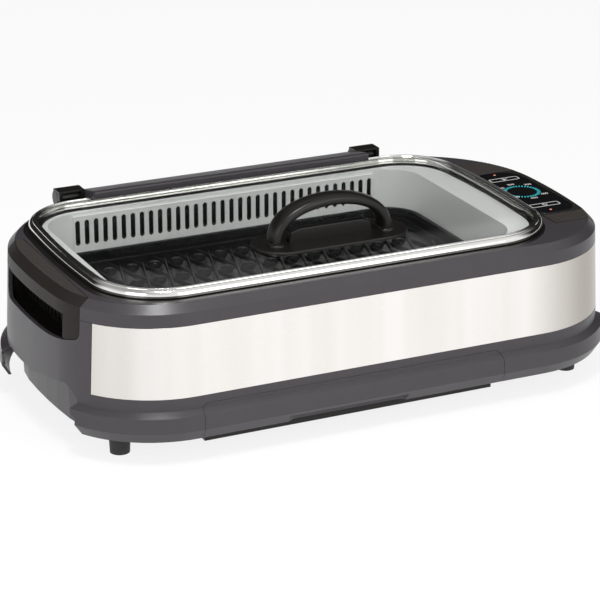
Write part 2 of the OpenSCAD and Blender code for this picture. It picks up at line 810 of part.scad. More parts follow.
module thermal_fuse() {
    x = well_x - well_w / 2 - liner_t - seam - 3.5;
    color("#d8d2c4") {
        along_y(12, 36, x, 92, 3.5);
        along_y(4, 44, x, 92, 0.9);
    }
}

// Drip tray

grip_x = [tray_x - 55, tray_x + 40];
grip_z = 28;

module drip_tray() {
    half = tray_half;
    y0 = -body_d / 2 + 4;
    y1 = rail_rear;
    color("#19191b") translate([tray_x, 0, 0]) difference() {
        union() {
            block([-half, y0, tray_z], [half, y1, flange_z + 1.4]);
            block([-half - 5, y0, flange_z], [half + 5, y1, flange_z + 1.4]);
        }
        block([tray_t - half, y0 + tray_t, tray_z + tray_t], [half - tray_t, y1 - tray_t, far]);
    }
}

module drawer_front() {
    y = -body_d / 2;
    back = y + 4 - seam;
    color("#57555c") difference() {
        intersection() {
            translate([tray_x - drawer_w / 2, 0, 0]) rotate([90, 0, 90]) linear_extrude(drawer_w)
                polygon([[y - skirt_bottom_out, skirt_bottom_z], [y + 1, skirt_bottom_z],
                    [back, skirt_bottom_z + 3], [back, skirt_mid_z - 3], [y + 0.4, skirt_mid_z],
                    [y + 0.4, drawer_top_z], [y - wall_flare, drawer_top_z], [y - wall_flare, skirt_top_z],
                    [y - skirt_mid_out, skirt_mid_z], [y - skirt_low_out, skirt_low_z]]);
            drawer_hole(0);
        }
        hull() for (x = grip_x) translate([x, y - 10, 0]) cylinder(grip_z, r = 9);
    }
}

module tray_runner(side) {
    in = rail_x;
    under = tray_half + 1;
    floor_z = pan_z + pan_t;
    difference() {
        translate([tray_x, rail_rear, 0]) mirror([side < 0 ? 1 : 0, 0, 0])
            rotate([90, 0, 0]) linear_extrude(rail_rear - rail_front)
                polygon([[under, flange_z - 2], [under, flange_z - seam], [in, flange_z - seam],
                    [in, flange_z + 1.4 + seam], [under + 1, flange_z + 1.4 + seam],
                    [under + 1, flange_z + 3.2], [in + 1.5, flange_z + 3.2], [in + 1.5, floor_z + 1.5],
                    [in + rail_foot, floor_z + 1.5],
                    [in + rail_foot, floor_z], [in, floor_z], [in, flange_z - 2]]);
        rail_posts(0, floor_z + 5, 1.4);
    }
}

module left_tray_runner() {
    color("#77777a") tray_runner(-1);
}

module right_tray_runner() {
    color("#77777a") tray_runner(1);
}

module runner_screws() {
    color("#b5b5b8") for (s = [-1, 1], y = [rail_front + 20, rail_rear - 20])
        screw_down(tray_x + s * (rail_x + 7), y, pan_z + pan_t + 1.5, 3.7, 1.2);
}

// Smoke fan

fan_x0 = duct_x1 + seam;
fan_depth = 21;
motor_x0 = fan_x0 + 13.5;
module fan_posts(x0, x1, r) {
    for (sy = [-1, 1], sz = [-1, 1])
        along_x(x0, x1, -fan_y + sy * (fan_r + 1), fan_z + sz * (fan_r + 1), r);
}

module fan_frame() {
    end = fan_x0 + fan_depth;
    color("#202022") difference() {
        union() {
            difference() {
                block([fan_x0, -fan_y - fan_half, fan_z - fan_half],
                    [end, -fan_y + fan_half, fan_z + fan_half]);
                along_x(fan_x0 - 5, end + 5, -fan_y, fan_z, fan_bore);
            }
            for (a = [45:90:315]) translate([end - 3, -fan_y, fan_z]) rotate([a, 0, 0])
                block([0, 15, -2], [3, fan_bore + 1, 2]);
            along_x(end - 3, end, -fan_y, fan_z, 18);
        }
        along_x(fan_x0 - 5, end + 5, -fan_y, fan_z, 15.2);
        fan_posts(fan_x0 - 5, end + 5, 1.5);
    }
}

module fan_screws() {
    end = fan_x0 + fan_depth;
    color("#b5b5b8") {
        fan_posts(end, end + 1.4, 2.6);
        fan_posts(duct_x1 - duct_t - 1.5, end, 1.3);
    }
}

module fan_motor() {
    color("#9a9a9d") difference() {
        union() {
            along_x(motor_x0, motor_x0 + 26, -fan_y, fan_z, 15);
            along_x(motor_x0 + 26, motor_x0 + 29, -fan_y, fan_z, 6);
        }
        along_x(motor_x0 - 5, motor_x0 + 18, -fan_y, fan_z, shaft_r + run_fit);
    }
}

module fan_shaft() {
    color("#c8c8ca") along_x(fan_x0 + 2, motor_x0 + 17, -fan_y, fan_z, shaft_r);
}

module fan_impeller() {
    x = fan_x0 + 2;
    hub = 13;
    color("#2c2c2f") difference() {
        union() {
            along_x(x, x + 10, -fan_y, fan_z, hub);
            for (i = [0:blade_count - 1])
                translate([x + 5, -fan_y, fan_z]) rotate([i * 360 / blade_count, 0, 0])
                translate([0, 0, hub - 1]) rotate([0, 0, 35])
                    block([-0.7, -6.2, 0], [0.7, 6.2, fan_r - hub]);
        }
        along_x(x - 5, x + 20, -fan_y, fan_z, shaft_r + 0.02);
    }
}

// Controls

module control_lens() {
    color("#0c0c0e") translate([0, 0, lens_seat + 0.05]) linear_extrude(lens_t - 0.05) lens_line(0);
}

ring_x = lens_x - 3.7;
ring_y = 2 - lens_y;
top_z = board_z + board_t + seam;
module light_ring() {
    color("#7fd6dc") translate([ring_x, ring_y, top_z]) linear_extrude(lens_seat - 0.2 - top_z) difference() {
        circle(ring_r + 0.3);
        circle(ring_r - 2);
    }
}

// Spring coils that feel a finger through the lens
key_y = 37;
module touch_pads() {
    color("#b9b9bb") for (s = [-1, 1]) post(lens_x, s * key_y - lens_y, top_z, lens_seat - 0.4, 4);
    color("#b9b9bb") post(ring_x, ring_y, top_z, lens_seat - 0.4, 4);
}

module control_board() {
    color("#1f5a3a") difference() {
        translate([lens_x + 1, -lens_y, board_z]) linear_extrude(board_t) rounded(lens_w - 7, lens_l - 8, 4);
        board_posts(1.3, board_z - 5, board_z + 5);
    }
}

module board_screws() {
    color("#c8c8ca") for (s = [-1, 1]) screw_up(lens_x + 9, s * board_screw_y - lens_y, board_z, 6, 1);
}

module power_board() {
    part_z = power_z + 1.6;
    color("#2f6b45") difference() {
        translate([board_at.x, board_at.y, 0]) {
            block([-16, -26, power_z], [17, 27, part_z]);
            block([-6, -16, part_z], [10, 0, part_z + 15.4]);
            block([-9, 4, part_z], [1, 18, part_z + 12.4]);
            post(9, 10, part_z, part_z + 17.4, 5);
        }
        power_posts(0, part_z + 0.1, 1.6);
    }
}

module power_board_screws() {
    color("#c8c8ca") for (sx = [-1, 1], sy = [-1, 1])
        screw_down(board_at.x + sx * board_post.x, board_at.y + sy * board_post.y, power_z + 1.6, 8, 1.2);
}

module power_inlet() {
    w = inlet_size.x;
    h = inlet_size.y;
    y1 = body_d / 2 + 2.5;
    color("#1a1a1c") translate([inlet_x, 0, inlet_z]) difference() {
        block([-w / 2, y1 - 26, -h / 2], [w / 2, y1, h / 2]);
        block([-w / 2 + 2.5, y1 - 17, -h / 2 + 2.5], [w / 2 - 2.5, far, h / 2 - 2.5]);
        for (x = [-7, 0, 7]) block([x - 1.05, y1 - 27, -2.05], [x + 1.05, y1, 2.05]);
    }
}

module inlet_pins() {
    y1 = body_d / 2 + 2.5;
    color("#c8b878") for (x = [-7, 0, 7])
        block([inlet_x + x - 1, y1 - 32, inlet_z - 2], [inlet_x + x + 1, y1 - 3, inlet_z + 2]);
}

// Hinge

hinge_x = [lid_x - bar_half - ear_w / 2, lid_x + bar_half + ear_w / 2];
cheek = 3.2;
knuckle_half = ear_w / 2 - cheek - 0.5;
barrel_r = 6.5;
hinge_screw_z = cap_z0 + 5;

module hinge_screw_holes(r) {
    for (x = hinge_x, s = [-1, 1]) along_y(rear_wall - 20, axis_y + 20, x + 4.5 * s, hinge_screw_z, r);
}

module hinge_blocks() {
    color("#1f1e20") difference() {
        for (x = hinge_x) {
            along_x(x - knuckle_half, x + knuckle_half, axis_y, axis_z, barrel_r);
            block([x - knuckle_half, body_d / 2 - 10, cap_z0], [x + knuckle_half, axis_y + 5, axis_z]);
        }
        stacked([[seam, cap_z0 - 5], [seam, cap_z0], [seam - 0.6, edge_z],
            [seam - deck_chamfer, deck_z + 0.2]], body_line);
        block([-far, 0, deck_z + 0.1], [far, axis_y - barrel_r, far]);
        for (x = hinge_x) along_x(x - 20, x + 20, axis_y, axis_z, pin_r + run_fit);
        hinge_screw_holes(1.7);
    }
}

module hinge_block_screws() {
    y = axis_y + 5;
    color("#b5b5b8") for (x = hinge_x, s = [-1, 1]) {
        along_y(y, y + 1.6, x + 4.5 * s, hinge_screw_z, 3);
        along_y(y - 11.5, y, x + 4.5 * s, hinge_screw_z, 1.5);
    }
}

module hinge_bar() {
    front = lid_d / 2 - 15;
    rear = axis_y - 7.5;
    top = rim_z1 + 8;
    out = lid_d / 2 + 2.4;
    roof_in = 7.3;
    roof_out = 9.4;
    color("#39373b") difference() {
        union() {
            translate([lid_x - bar_half, 0, 0]) rotate([90, 0, 90]) linear_extrude(2 * bar_half)
                polygon([[front, glass_top - 4.4], [front + 7, rim_z1 + 0.3], [out, rim_z1 + 0.3],
                    [out, deck_z + 1.7], [rear, deck_z + 1.7], [rear, axis_z + roof_out - 1.5],
                    [front + 4, top + 0.6], [front, top]]);
            for (x = hinge_x, s = [-1, 1]) translate([x + s * (ear_w - cheek) / 2 - cheek / 2, 0, 0]) {
                along_x(0, cheek, axis_y, axis_z, roof_in + 0.01);
                block([0, axis_y - 13, axis_z], [cheek, axis_y, axis_z + roof_in]);
            }
            for (x = hinge_x) translate([x - ear_w / 2, axis_y, axis_z])
                rotate([90, 0, 90]) linear_extrude(ear_w) difference() {
                    union() {
                        circle(roof_out);
                        translate([-13, roof_in]) square([13, roof_out - roof_in]);
                    }
                    circle(roof_in);
                    translate([-far, -far]) square([2 * far, far + 1]);
                    translate([4, -far]) square(2 * far);
                }
        }
        for (x = hinge_x) along_x(x - 20, x + 20, axis_y, axis_z, pin_r + 0.03);
    }
}

module hinge_pins() {
    half = ear_w / 2 - 0.3;
    color("#c4c4c6") for (x = hinge_x) along_x(x - half, x + half, axis_y, axis_z, pin_r);
}

// Lid

module lid_glass() {
    z = glass_z;
    t = glass_t;
    r = dome_rise;
    color([0.8, 0.86, 0.88, 0.35]) difference() {
        stacked([[-1.4, z], [-1.4, z + t], [-9, z + t], [-14, z + t + 0.25 * r], [-22, z + t + 0.72 * r],
            [-30, z + t + 0.95 * r], [-38, z + t + r]], lid_line);
        stacked([[-6, z - 1], [-9, z], [-14, z + 0.25 * r], [-22, z + 0.72 * r], [-30, z + 0.95 * r],
            [-38, z + r]], lid_line);
        for (s = [-1, 1]) post(lid_x + s * handle_span / 2, -handle_y, z, far, 3.2);
    }
}

module lid_rim() {
    foot = rim_z0 + 0.7;
    color("#dcdad6") swept_ring([[-7, foot], [1.2, foot], [1.85, foot + 0.5], [1.4, rim_z1 - 1.2],
        [0.4, rim_z1], [-7, rim_z1], [-7, rim_z1 - rim_t], [0, rim_z1 - rim_t], [0.6, rim_z1 - 1.6],
        [1.1, foot + rim_t], [-7, foot + rim_t]], lid_line);
}

module lid_seal() {
    color("#1c1c1e") swept_ring([[-6.5, rim_z0], [-2.5, rim_z0], [-2.5, rim_z0 + 0.6],
        [-6.5, rim_z0 + 0.6]], lid_line);
}

handle_z = glass_top + 0.8;
base_t = 3;
module stadium(l, w) {
    square([l - w, w], center = true);
    for (x = [-1, 1]) translate([x * (l - w) / 2, 0]) circle(w / 2);
}

module handle_screw_line(z0, z1, r) {
    for (s = [-1, 1]) post(lid_x + s * handle_span / 2, -handle_y, z0, z1, r);
}

module handle_gasket() {
    color("#121213") difference() {
        translate([lid_x, -handle_y, glass_top]) linear_extrude(0.8) stadium(handle_span + 34, 46);
        handle_screw_line(0, far, 2.7);
    }
}

module handle_base() {
    web = [[22, 14.5], [14, 12], [12, 1]];
    color("#141415") difference() {
        translate([lid_x, -handle_y, handle_z]) {
            linear_extrude(base_t) stadium(handle_span + 40, 52);
            rotate([90, 0, 0]) translate([0, 0, -3.5]) linear_extrude(7)
                polygon([for (s = [-1, 1], p = s < 0 ? web : backward(web))
                    [s * (handle_span / 2 - p.x), p.y]]);
        }
        handle_screw_line(0, far, 2.7);
    }
}

// The arch: a rounded bar swept along a half ellipse
module handle_arch() {
    steps = 22;
    sides = 12;
    a = handle_span / 2;
    z0 = handle_z + base_t;
    rise = handle_rise - arch_t / 2;
    function squared(v) = sign(v) * pow(abs(v), 0.7);
    function along(i) = i == 0 ? [0, 1] : i == steps ? [0, -1] :
        let (u = 180 * i / steps, d = [-a * sin(u), rise * cos(u)]) d / norm(d);
    section = [for (k = [0:sides - 1]) let (t = 360 * k / sides)
        [squared(cos(t)) * arch_w / 2, squared(sin(t)) * arch_t / 2]];
    points = [for (i = [0:steps]) let (u = 180 * i / steps, e = along(i))
        for (q = section) [lid_x + a * cos(u) + q.y * e.y, q.x - handle_y,
            z0 + rise * pow(sin(u), 0.8) - q.y * e.x]];
    sides_list = [for (i = [0:steps - 1]) for (k = [0:sides - 1])
        let (k2 = (k + 1) % sides, p = i * sides + k, q = i * sides + k2,
            r = (i + 1) * sides + k2, s = (i + 1) * sides + k)
        each [[p, q, r], [p, r, s]]];
    caps = [[for (k = [sides - 1:-1:0]) k], [for (k = [0:sides - 1]) steps * sides + k]];
    color("#1b1a1c") difference() {
        union() {
            polyhedron(points, concat(sides_list, caps));
            handle_screw_line(z0, z0 + 8, 8.5);
        }
        handle_screw_line(0, z0 + 9, 2.1);
    }
}

module handle_screws() {
    z = glass_z + dome_rise;
    color("#c8c8ca") {
        handle_screw_line(z - 1.8, z, 5);
        handle_screw_line(z, handle_z + base_t + 8.5, 2);
    }
}

// Feet

module foot(x, y) {
    color("#161617") translate([x, y, 0]) difference() {
        cylinder(pan_z, r1 = foot_r - 1, r2 = foot_r);
        translate([0, 0, -1]) cylinder(9, r = 5);
        cylinder(far, r = 2.2);
    }
}

module front_left_foot() {
    foot(-foot_x, -foot_y);
}

module front_right_foot() {
    foot(foot_x, -foot_y);
}

module rear_left_foot() {
    foot(-rear_foot_x, rear_foot_y);
}

module rear_right_foot() {
    foot(rear_foot_x, rear_foot_y);
}

module foot_screws() {
    color("#b5b5b8") for (s = [-1, 1]) {
        screw_up(s * foot_x, -foot_y, 8, pan_z + 1, 2);
        screw_up(s * rear_foot_x, rear_foot_y, 8, pan_z + 1, 2);
    }
}

base_housing();
bottom_pan();
body_screws();
steel_band();
upper_bezel();
left_side_cap();
right_side_cap();
left_vent_grille();
right_vent_grille();
inner_liner();
rear_air_grille();
air_duct();
grill_plate();
heating_element();
element_brackets();
element_bushes();
thermostat();
thermal_fuse();
drip_tray();
drawer_front();
left_tray_runner();
right_tray_runner();
runner_screws();
fan_frame();
fan_screws();
fan_motor();
fan_shaft();
fan_impeller();
control_lens();
light_ring();
touch_pads();
control_board();
board_screws();
power_board();
power_board_screws();
power_inlet();
inlet_pins();
hinge_blocks();
hinge_block_screws();
lid_glass();
lid_rim();
lid_seal();
hinge_bar();
hinge_pins();
handle_base();
handle_arch();
handle_gasket();
handle_screws();
front_left_foot();
front_right_foot();
rear_left_foot();
rear_right_foot();
foot_screws();
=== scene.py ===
# %% [markdown]
# # An electric indoor grill with a glass lid
#
# This script dresses a finished assembly of an indoor grill. The assembly already has every piece at its
# real size and place, so nothing here moves or resizes a piece. What is added is how the pieces look:
# smooth mouldings with rounded edges, brushed and polished steel, clear glass, a lit control lens, and a
# small studio.
#
# Lengths are written in millimetres, as a drawing has them, and turned into metres when a mesh is made.

# %% Load the assembly
import json
from math import acos, atan2, copysign, cos, hypot, pi, radians, sin, sqrt

import bmesh
import bpy
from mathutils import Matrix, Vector


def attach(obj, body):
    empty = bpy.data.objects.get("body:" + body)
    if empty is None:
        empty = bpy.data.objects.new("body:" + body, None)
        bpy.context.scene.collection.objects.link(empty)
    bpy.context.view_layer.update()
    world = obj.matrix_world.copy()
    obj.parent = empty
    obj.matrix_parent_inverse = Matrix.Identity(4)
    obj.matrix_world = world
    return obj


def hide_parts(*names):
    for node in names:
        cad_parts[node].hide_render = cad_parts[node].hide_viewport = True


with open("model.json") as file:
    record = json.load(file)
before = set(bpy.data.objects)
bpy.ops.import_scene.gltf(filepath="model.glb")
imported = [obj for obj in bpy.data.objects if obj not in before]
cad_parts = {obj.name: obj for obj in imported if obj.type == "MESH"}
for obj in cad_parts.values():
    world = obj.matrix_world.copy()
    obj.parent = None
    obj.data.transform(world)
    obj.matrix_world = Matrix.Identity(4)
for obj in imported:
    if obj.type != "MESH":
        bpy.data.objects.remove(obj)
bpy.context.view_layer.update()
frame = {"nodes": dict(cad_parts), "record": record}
MM = 0.001

# %% [markdown]
# ## The camera
#
# The camera stands where the photograph was taken from: in front of the grill, a little to its left and
# above it. A long lens keeps the perspective flat, as in catalogue pictures.

# %% Camera
CAMERA_AT = (-873.6, -1849.9, 838.2)
CAMERA_YAW, CAMERA_DOWN = 25.284, 20.718
LENS, SENSOR = 145.31, 36.0

camera_data = bpy.data.cameras.new("camera")
camera_data.lens = LENS
camera_data.sensor_width = SENSOR
camera_data.clip_end = 100
camera = bpy.data.objects.new("camera", camera_data)
camera.location = [c * MM for c in CAMERA_AT]
camera.rotation_euler = (radians(90 - CAMERA_DOWN), 0, radians(-CAMERA_YAW))
bpy.context.collection.objects.link(camera)
bpy.context.scene.camera = camera
bpy.context.scene.view_settings.view_transform = "Standard"
print("camera", CAMERA_AT, "mm, lens", LENS, "mm")

# %% [markdown]
# ## Shader nodes without clutter
#
# A material is a tree of nodes. Adding a node takes several statements, so a few small helpers do it in
# one: a value is written on the node's socket, and another node's output is linked to it.

# %% Node helpers
def new_nodes(name):
    """A material with an empty node tree."""
    material = bpy.data.materials.new(name)
    material.use_nodes = True
    material.node_tree.nodes.clear()
    return material, material.node_tree


def node(tree, kind, inputs=None, **settings):
    """Adds a node. inputs maps a socket's name or number to a value or to another node's output."""
    n = tree.nodes.new(kind)
    for key, value in settings.items():
        setattr(n, key, value)
    for key, value in (inputs or {}).items():
        if isinstance(value, bpy.types.NodeSocket):
            tree.links.new(value, n.inputs[key])
        else:
            n.inputs[key].default_value = value
    return n


def mix_color(tree, factor, a, b):
    """Mixes two colours, each given as three numbers or as another node's output.

    The mix node has sockets of several kinds under one name, so its colours are found by kind.
    """
    n = node(tree, "ShaderNodeMix", {"Factor": factor}, data_type="RGBA")
    sockets = [socket for socket in n.inputs if socket.type == "RGBA"]
    for socket, color in zip(sockets, (a, b)):
        if isinstance(color, bpy.types.NodeSocket):
            tree.links.new(color, socket)
        else:
            socket.default_value = (*color, 1)
    return next(socket for socket in n.outputs if socket.type == "RGBA")


def remap(tree, value, start, end, low=0.0, high=1.0, smooth=False):
    """Maps a value from start..end to low..high, along a straight line or a smooth step."""
    limits = {"Value": value, "From Min": start, "From Max": end, "To Min": low, "To Max": high}
    way = "SMOOTHSTEP" if smooth else "LINEAR"
    return node(tree, "ShaderNodeMapRange", limits, interpolation_type=way).outputs[0]


def combine(tree, a, b, how):
    """One Math node with two inputs."""
    return node(tree, "ShaderNodeMath", {0: a, 1: b}, operation=how).outputs[0]


# %% [markdown]
# ## The studio
#
# Dark plastic and steel are mostly seen by what they mirror, so the studio matters more than the lamps.
# The floor is white. Overhead and in front is bright, like a large soft box, and low behind the grill it
# is dark, like a black flag: that keeps the top of the lid clear, so that the plate shows through the
# glass. A world whose brightness depends only on direction does this without a single card standing
# about.
#
# The floor is part paper and part glow where the camera sees it, directly or in a mirror. That makes the
# background white and still keeps the shadow of the grill.

# %% Studio floor
FLOOR = 12.0
GLOW = 0.84


def studio_floor():
    mesh = bpy.data.meshes.new("studio_floor")
    corners = [(-FLOOR, -FLOOR, 0), (FLOOR, -FLOOR, 0), (FLOOR, FLOOR, 0), (-FLOOR, FLOOR, 0)]
    mesh.from_pydata(corners, [], [(0, 1, 2, 3)])
    floor = bpy.data.objects.new("studio_floor", mesh)
    bpy.context.collection.objects.link(floor)
    material, tree = new_nodes("paper_white")
    paper = node(tree, "ShaderNodeBsdfDiffuse", {"Color": (0.94, 0.94, 0.94, 1)})
    glow = node(tree, "ShaderNodeEmission", {"Color": (1, 1, 1, 1), "Strength": 1.0})
    rays = node(tree, "ShaderNodeLightPath").outputs
    seen = combine(tree, rays["Is Camera Ray"], rays["Is Glossy Ray"], "MAXIMUM")
    seen = combine(tree, seen, rays["Is Transmission Ray"], "MAXIMUM")
    share = combine(tree, seen, GLOW, "MULTIPLY")
    mix = node(tree, "ShaderNodeMixShader", {0: share, 1: paper.outputs[0], 2: glow.outputs[0]})
    node(tree, "ShaderNodeOutputMaterial", {"Surface": mix.outputs[0]})
    mesh.materials.append(material)


studio_floor()

# %% Studio world
HORIZON, OVERHEAD, SOFT_BOX, FLAG = 1.0, 0.42, 0.45, 0.02
SOFT_BOX_AT = Vector((0.25, -0.45, 0.86)).normalized()


def studio_world():
    world = bpy.data.worlds.new("studio")
    bpy.context.scene.world = world
    world.use_nodes = True
    tree = world.node_tree
    tree.nodes.clear()
    way = node(tree, "ShaderNodeTexCoord").outputs["Generated"]
    height = node(tree, "ShaderNodeSeparateXYZ", {0: way}).outputs["Z"]

    def towards(direction):
        """1 where a ray goes in this direction, -1 where it goes the other way."""
        return node(tree, "ShaderNodeVectorMath", {0: way, 1: direction},
                    operation="DOT_PRODUCT").outputs["Value"]

    back = (sin(radians(CAMERA_YAW)), cos(radians(CAMERA_YAW)), 0)
    low_down = remap(tree, height, 0.78, 0.45, smooth=True)
    behind = remap(tree, towards(back), -0.15, 0.35, smooth=True)
    above_floor = remap(tree, height, -0.002, 0.002, smooth=True)
    flag = combine(tree, combine(tree, low_down, behind, "MULTIPLY"), above_floor, "MULTIPLY")
    open_sky = combine(tree, 1.0, flag, "SUBTRACT")
    soft_box = remap(tree, towards(SOFT_BOX_AT), 0.70, 0.88, 0, SOFT_BOX, smooth=True)
    light = combine(tree, remap(tree, height, 0.15, 0.75, HORIZON, OVERHEAD, smooth=True), soft_box, "ADD")
    light = combine(tree, combine(tree, light, open_sky, "MULTIPLY"), FLAG, "ADD")
    sky = node(tree, "ShaderNodeBackground", {"Color": (1, 1, 1, 1), "Strength": light})
    node(tree, "ShaderNodeOutputWorld", {"Surface": sky.outputs[0]})


studio_world()

# %% [markdown]
# Three area lamps add what a world can't: a small one overhead for the white glints on the plate's domes,
# and two large ones at the left and in front that lift the upright walls.

# %% Soft lamps
LAMPS = {"lamp_overhead": ((-300, -600, 1500), 360, 13.0),
         "lamp_left": ((-1500, -900, 700), 800, 5.0),
         "lamp_front": ((500, -1900, 700), 1000, 8.0)}


def soft_lamp(name, at, size, power):
    data = bpy.data.lights.new(name, "AREA")
    data.size = size * MM
    data.energy = power
    lamp = bpy.data.objects.new(name, data)
    lamp.location = [c * MM for c in at]
    lamp.rotation_euler = (-Vector(lamp.location)).to_track_quat("-Z", "Y").to_euler()
    bpy.context.collection.objects.link(lamp)


for lamp_name, (at, size, power) in LAMPS.items():
    soft_lamp(lamp_name, at, size, power)
print("lamps:", len(LAMPS))

# %% [markdown]
# ## Finishes
#
# Each finish is one Principled shader whose roughness and bump come from noise at the scale of the real
# surface: moulded plastic has a fine grain from the spark-eroded mould, brushed steel has long scratches,
# a non-stick coating has a pebbly skin. The noise reads object coordinates, which are real metres here,
# so a grain of half a millimetre stays half a millimetre on every piece. The specular level of the dark
# finishes is lowered until they are about as dark as in the photograph: a fine texture traps part of what
# smooth plastic would mirror.

# %% Principled finish with grain
FINISHES = {}


def finish(name, color, roughness=0.4, metallic=0.0, grain=0.0, grain_mm=0.5, spread=0.05,
           stretch=(1, 1, 1), mottle=0.06, **sockets):
    """A finish whose grain has the given depth and size. spread is how far the roughness varies."""
    material, tree = new_nodes(name)
    place = node(tree, "ShaderNodeTexCoord").outputs["Object"]
    drawn = node(tree, "ShaderNodeMapping", {"Vector": place, "Scale": stretch}).outputs[0]
    fine = node(tree, "ShaderNodeTexNoise", {"Vector": drawn, "Scale": 1 / (grain_mm * MM), "Detail": 3.0})
    broad = node(tree, "ShaderNodeTexNoise", {"Vector": drawn, "Scale": 28.0, "Detail": 4.0})
    both = combine(tree, fine.outputs[0], broad.outputs[0], "MULTIPLY")
    rough = remap(tree, both, 0.1, 0.45, roughness - spread, roughness + spread)
    dark = [c * (1 - mottle) for c in color]
    light = [min(1, c * (1 + mottle)) for c in color]
    tint = mix_color(tree, broad.outputs[0], dark, light)
    inputs = {"Base Color": tint, "Roughness": rough, "Metallic": metallic, **sockets}
    if grain:
        bump = node(tree, "ShaderNodeBump", {"Height": fine.outputs[0], "Distance": grain * MM})
        inputs["Normal"] = bump.outputs[0]
    shader = node(tree, "ShaderNodeBsdfPrincipled", inputs)
    node(tree, "ShaderNodeOutputMaterial", {"Surface": shader.outputs[0]})
    FINISHES[name] = material


# %% Plastics, coatings and ceramics
GLOSS_SATIN = {"Specular IOR Level": 0.42}
GLOSS_LOW = {"Specular IOR Level": 0.32}
GLOSS_FAINT = {"Specular IOR Level": 0.14}
finish("dark_plastic", (0.042, 0.038, 0.043), 0.34, grain=0.012, grain_mm=0.35, **GLOSS_SATIN)
finish("black_plastic", (0.0065, 0.0055, 0.0050), 0.32, grain=0.010, grain_mm=0.35, **GLOSS_LOW)
finish("cap_plastic", (0.018, 0.0150, 0.0135), 0.42, grain=0.015, grain_mm=0.4, **GLOSS_FAINT)
# The finish of the ribs is the cap plastic painted paler: a painted highlight on the raised ribs.
finish("rib_painted_highlight", (0.038, 0.033, 0.030), 0.42, grain=0.015, grain_mm=0.4, **GLOSS_FAINT)
finish("nonstick", (0.0030, 0.0030, 0.0030), 0.22, grain=0.015, grain_mm=1.1, mottle=0.2, **GLOSS_FAINT)
finish("element_sheath", (0.055, 0.048, 0.044), 0.55, metallic=0.6, grain=0.03, mottle=0.3)
finish("ceramic", (0.74, 0.70, 0.62), 0.7, grain=0.04, grain_mm=0.8)
finish("bakelite", (0.045, 0.026, 0.018), 0.35, grain=0.01)
finish("rubber", (0.014, 0.014, 0.014), 0.6, grain=0.03, grain_mm=0.6)
finish("circuit_board", (0.02, 0.13, 0.06), 0.35, mottle=0.25)
finish("lens_black", (0.004, 0.004, 0.005), 0.07, spread=0.02, grain_mm=4)
finish("light_guide", (0.10, 0.55, 0.60), 0.3, mottle=0.1)
print("plastics and coatings:", len(FINISHES))

# %% [markdown]
# Steel gets its character from how it was worked. Brushing leaves long level scratches, so its noise is
# stretched flat. The liner is a dull satin that is closer to a pale paint than to a mirror, the rim of
# the lid is polished, and brackets and runners are zinc coated sheet.

# %% Metals
ALONG = (0.03, 0.03, 1)
finish("satin_steel", (0.86, 0.86, 0.85), 0.36, 0.15, grain=0.002, grain_mm=0.4, stretch=ALONG,
       mottle=0.03)
finish("bright_steel", (0.80, 0.79, 0.765), 0.10, 1.0, spread=0.03, grain_mm=6, mottle=0.02)
finish("sheet_metal", (0.50, 0.51, 0.52), 0.42, 0.9, grain=0.01, grain_mm=2, mottle=0.15)
finish("screw_steel", (0.58, 0.58, 0.59), 0.3, 1.0, grain=0.01, mottle=0.1)
finish("brass", (0.66, 0.50, 0.20), 0.28, 1.0, grain=0.01)

# %% [markdown]
# The band round the body needs a little more, and its colour carries painted reflections. A second noise,
# stretched tall, paints soft upright stripes round the body, such as brushing smears into what the steel
# mirrors and no small studio gives, and the colour is painted a warmer, darker grey where the band bends
# away at its two ends, most of all at the right, as painted darker reflections there.

# %% Brushed band with painted reflections
BEND_RIGHT, BEND_LEFT = (140, 225), (-185, -243)


def brushed_band_painted_reflections():
    material, tree = new_nodes("brushed_band_painted_reflections")
    place = node(tree, "ShaderNodeTexCoord").outputs["Object"]
    level = node(tree, "ShaderNodeMapping", {"Vector": place, "Scale": ALONG}).outputs[0]
    tall = node(tree, "ShaderNodeMapping", {"Vector": place, "Scale": (1, 1, 0.02)}).outputs[0]
    fine = {"Vector": level, "Scale": 2600.0, "Detail": 3.0}
    broad = {"Vector": tall, "Scale": 26.0, "Detail": 2.0}
    scratch = node(tree, "ShaderNodeTexNoise", fine).outputs[0]
    # A tall noise paints soft upright stripes into the colour: painted reflections.
    painted_stripes = node(tree, "ShaderNodeTexNoise", broad).outputs[0]
    # Towards both ends, where the band bends away, the colour is painted a darker warm grey: painted
    # reflections.
    across = node(tree, "ShaderNodeSeparateXYZ", {0: place}).outputs["X"]
    right = remap(tree, across, BEND_RIGHT[0] * MM, BEND_RIGHT[1] * MM, smooth=True)
    left = remap(tree, across, BEND_LEFT[0] * MM, BEND_LEFT[1] * MM, 0, 0.35)
    tint = mix_color(tree, remap(tree, painted_stripes, 0.35, 0.65), (0.86, 0.835, 0.80), (0.93, 0.905, 0.88))
    tone = mix_color(tree, combine(tree, right, left, "MAXIMUM"), tint, (0.42, 0.385, 0.35))
    bump = node(tree, "ShaderNodeBump", {"Height": scratch, "Distance": 0.001 * MM}).outputs[0]
    shader = node(tree, "ShaderNodeBsdfPrincipled", {"Base Color": tone, "Metallic": 1.0, "Normal": bump,
                                                     "Roughness": remap(tree, scratch, 0, 1, 0.22, 0.30)})
    node(tree, "ShaderNodeOutputMaterial", {"Surface": shader.outputs[0]})
    FINISHES["brushed_band_painted_reflections"] = material


brushed_band_painted_reflections()

# %% [markdown]
# Glass four millimetres thick hardly bends what is seen through it, so it is made of two things only: a
# clear share that lets everything pass, and a mirror share that grows towards a grazing view, as the
# fifth power of how far the surface turns away. The mirror share is held lower than in real glass, so that
# the plate stays as dark under it as in the photograph.

# %% Glass
MIRROR_STRAIGHT, MIRROR_GRAZING = 0.03, 0.6


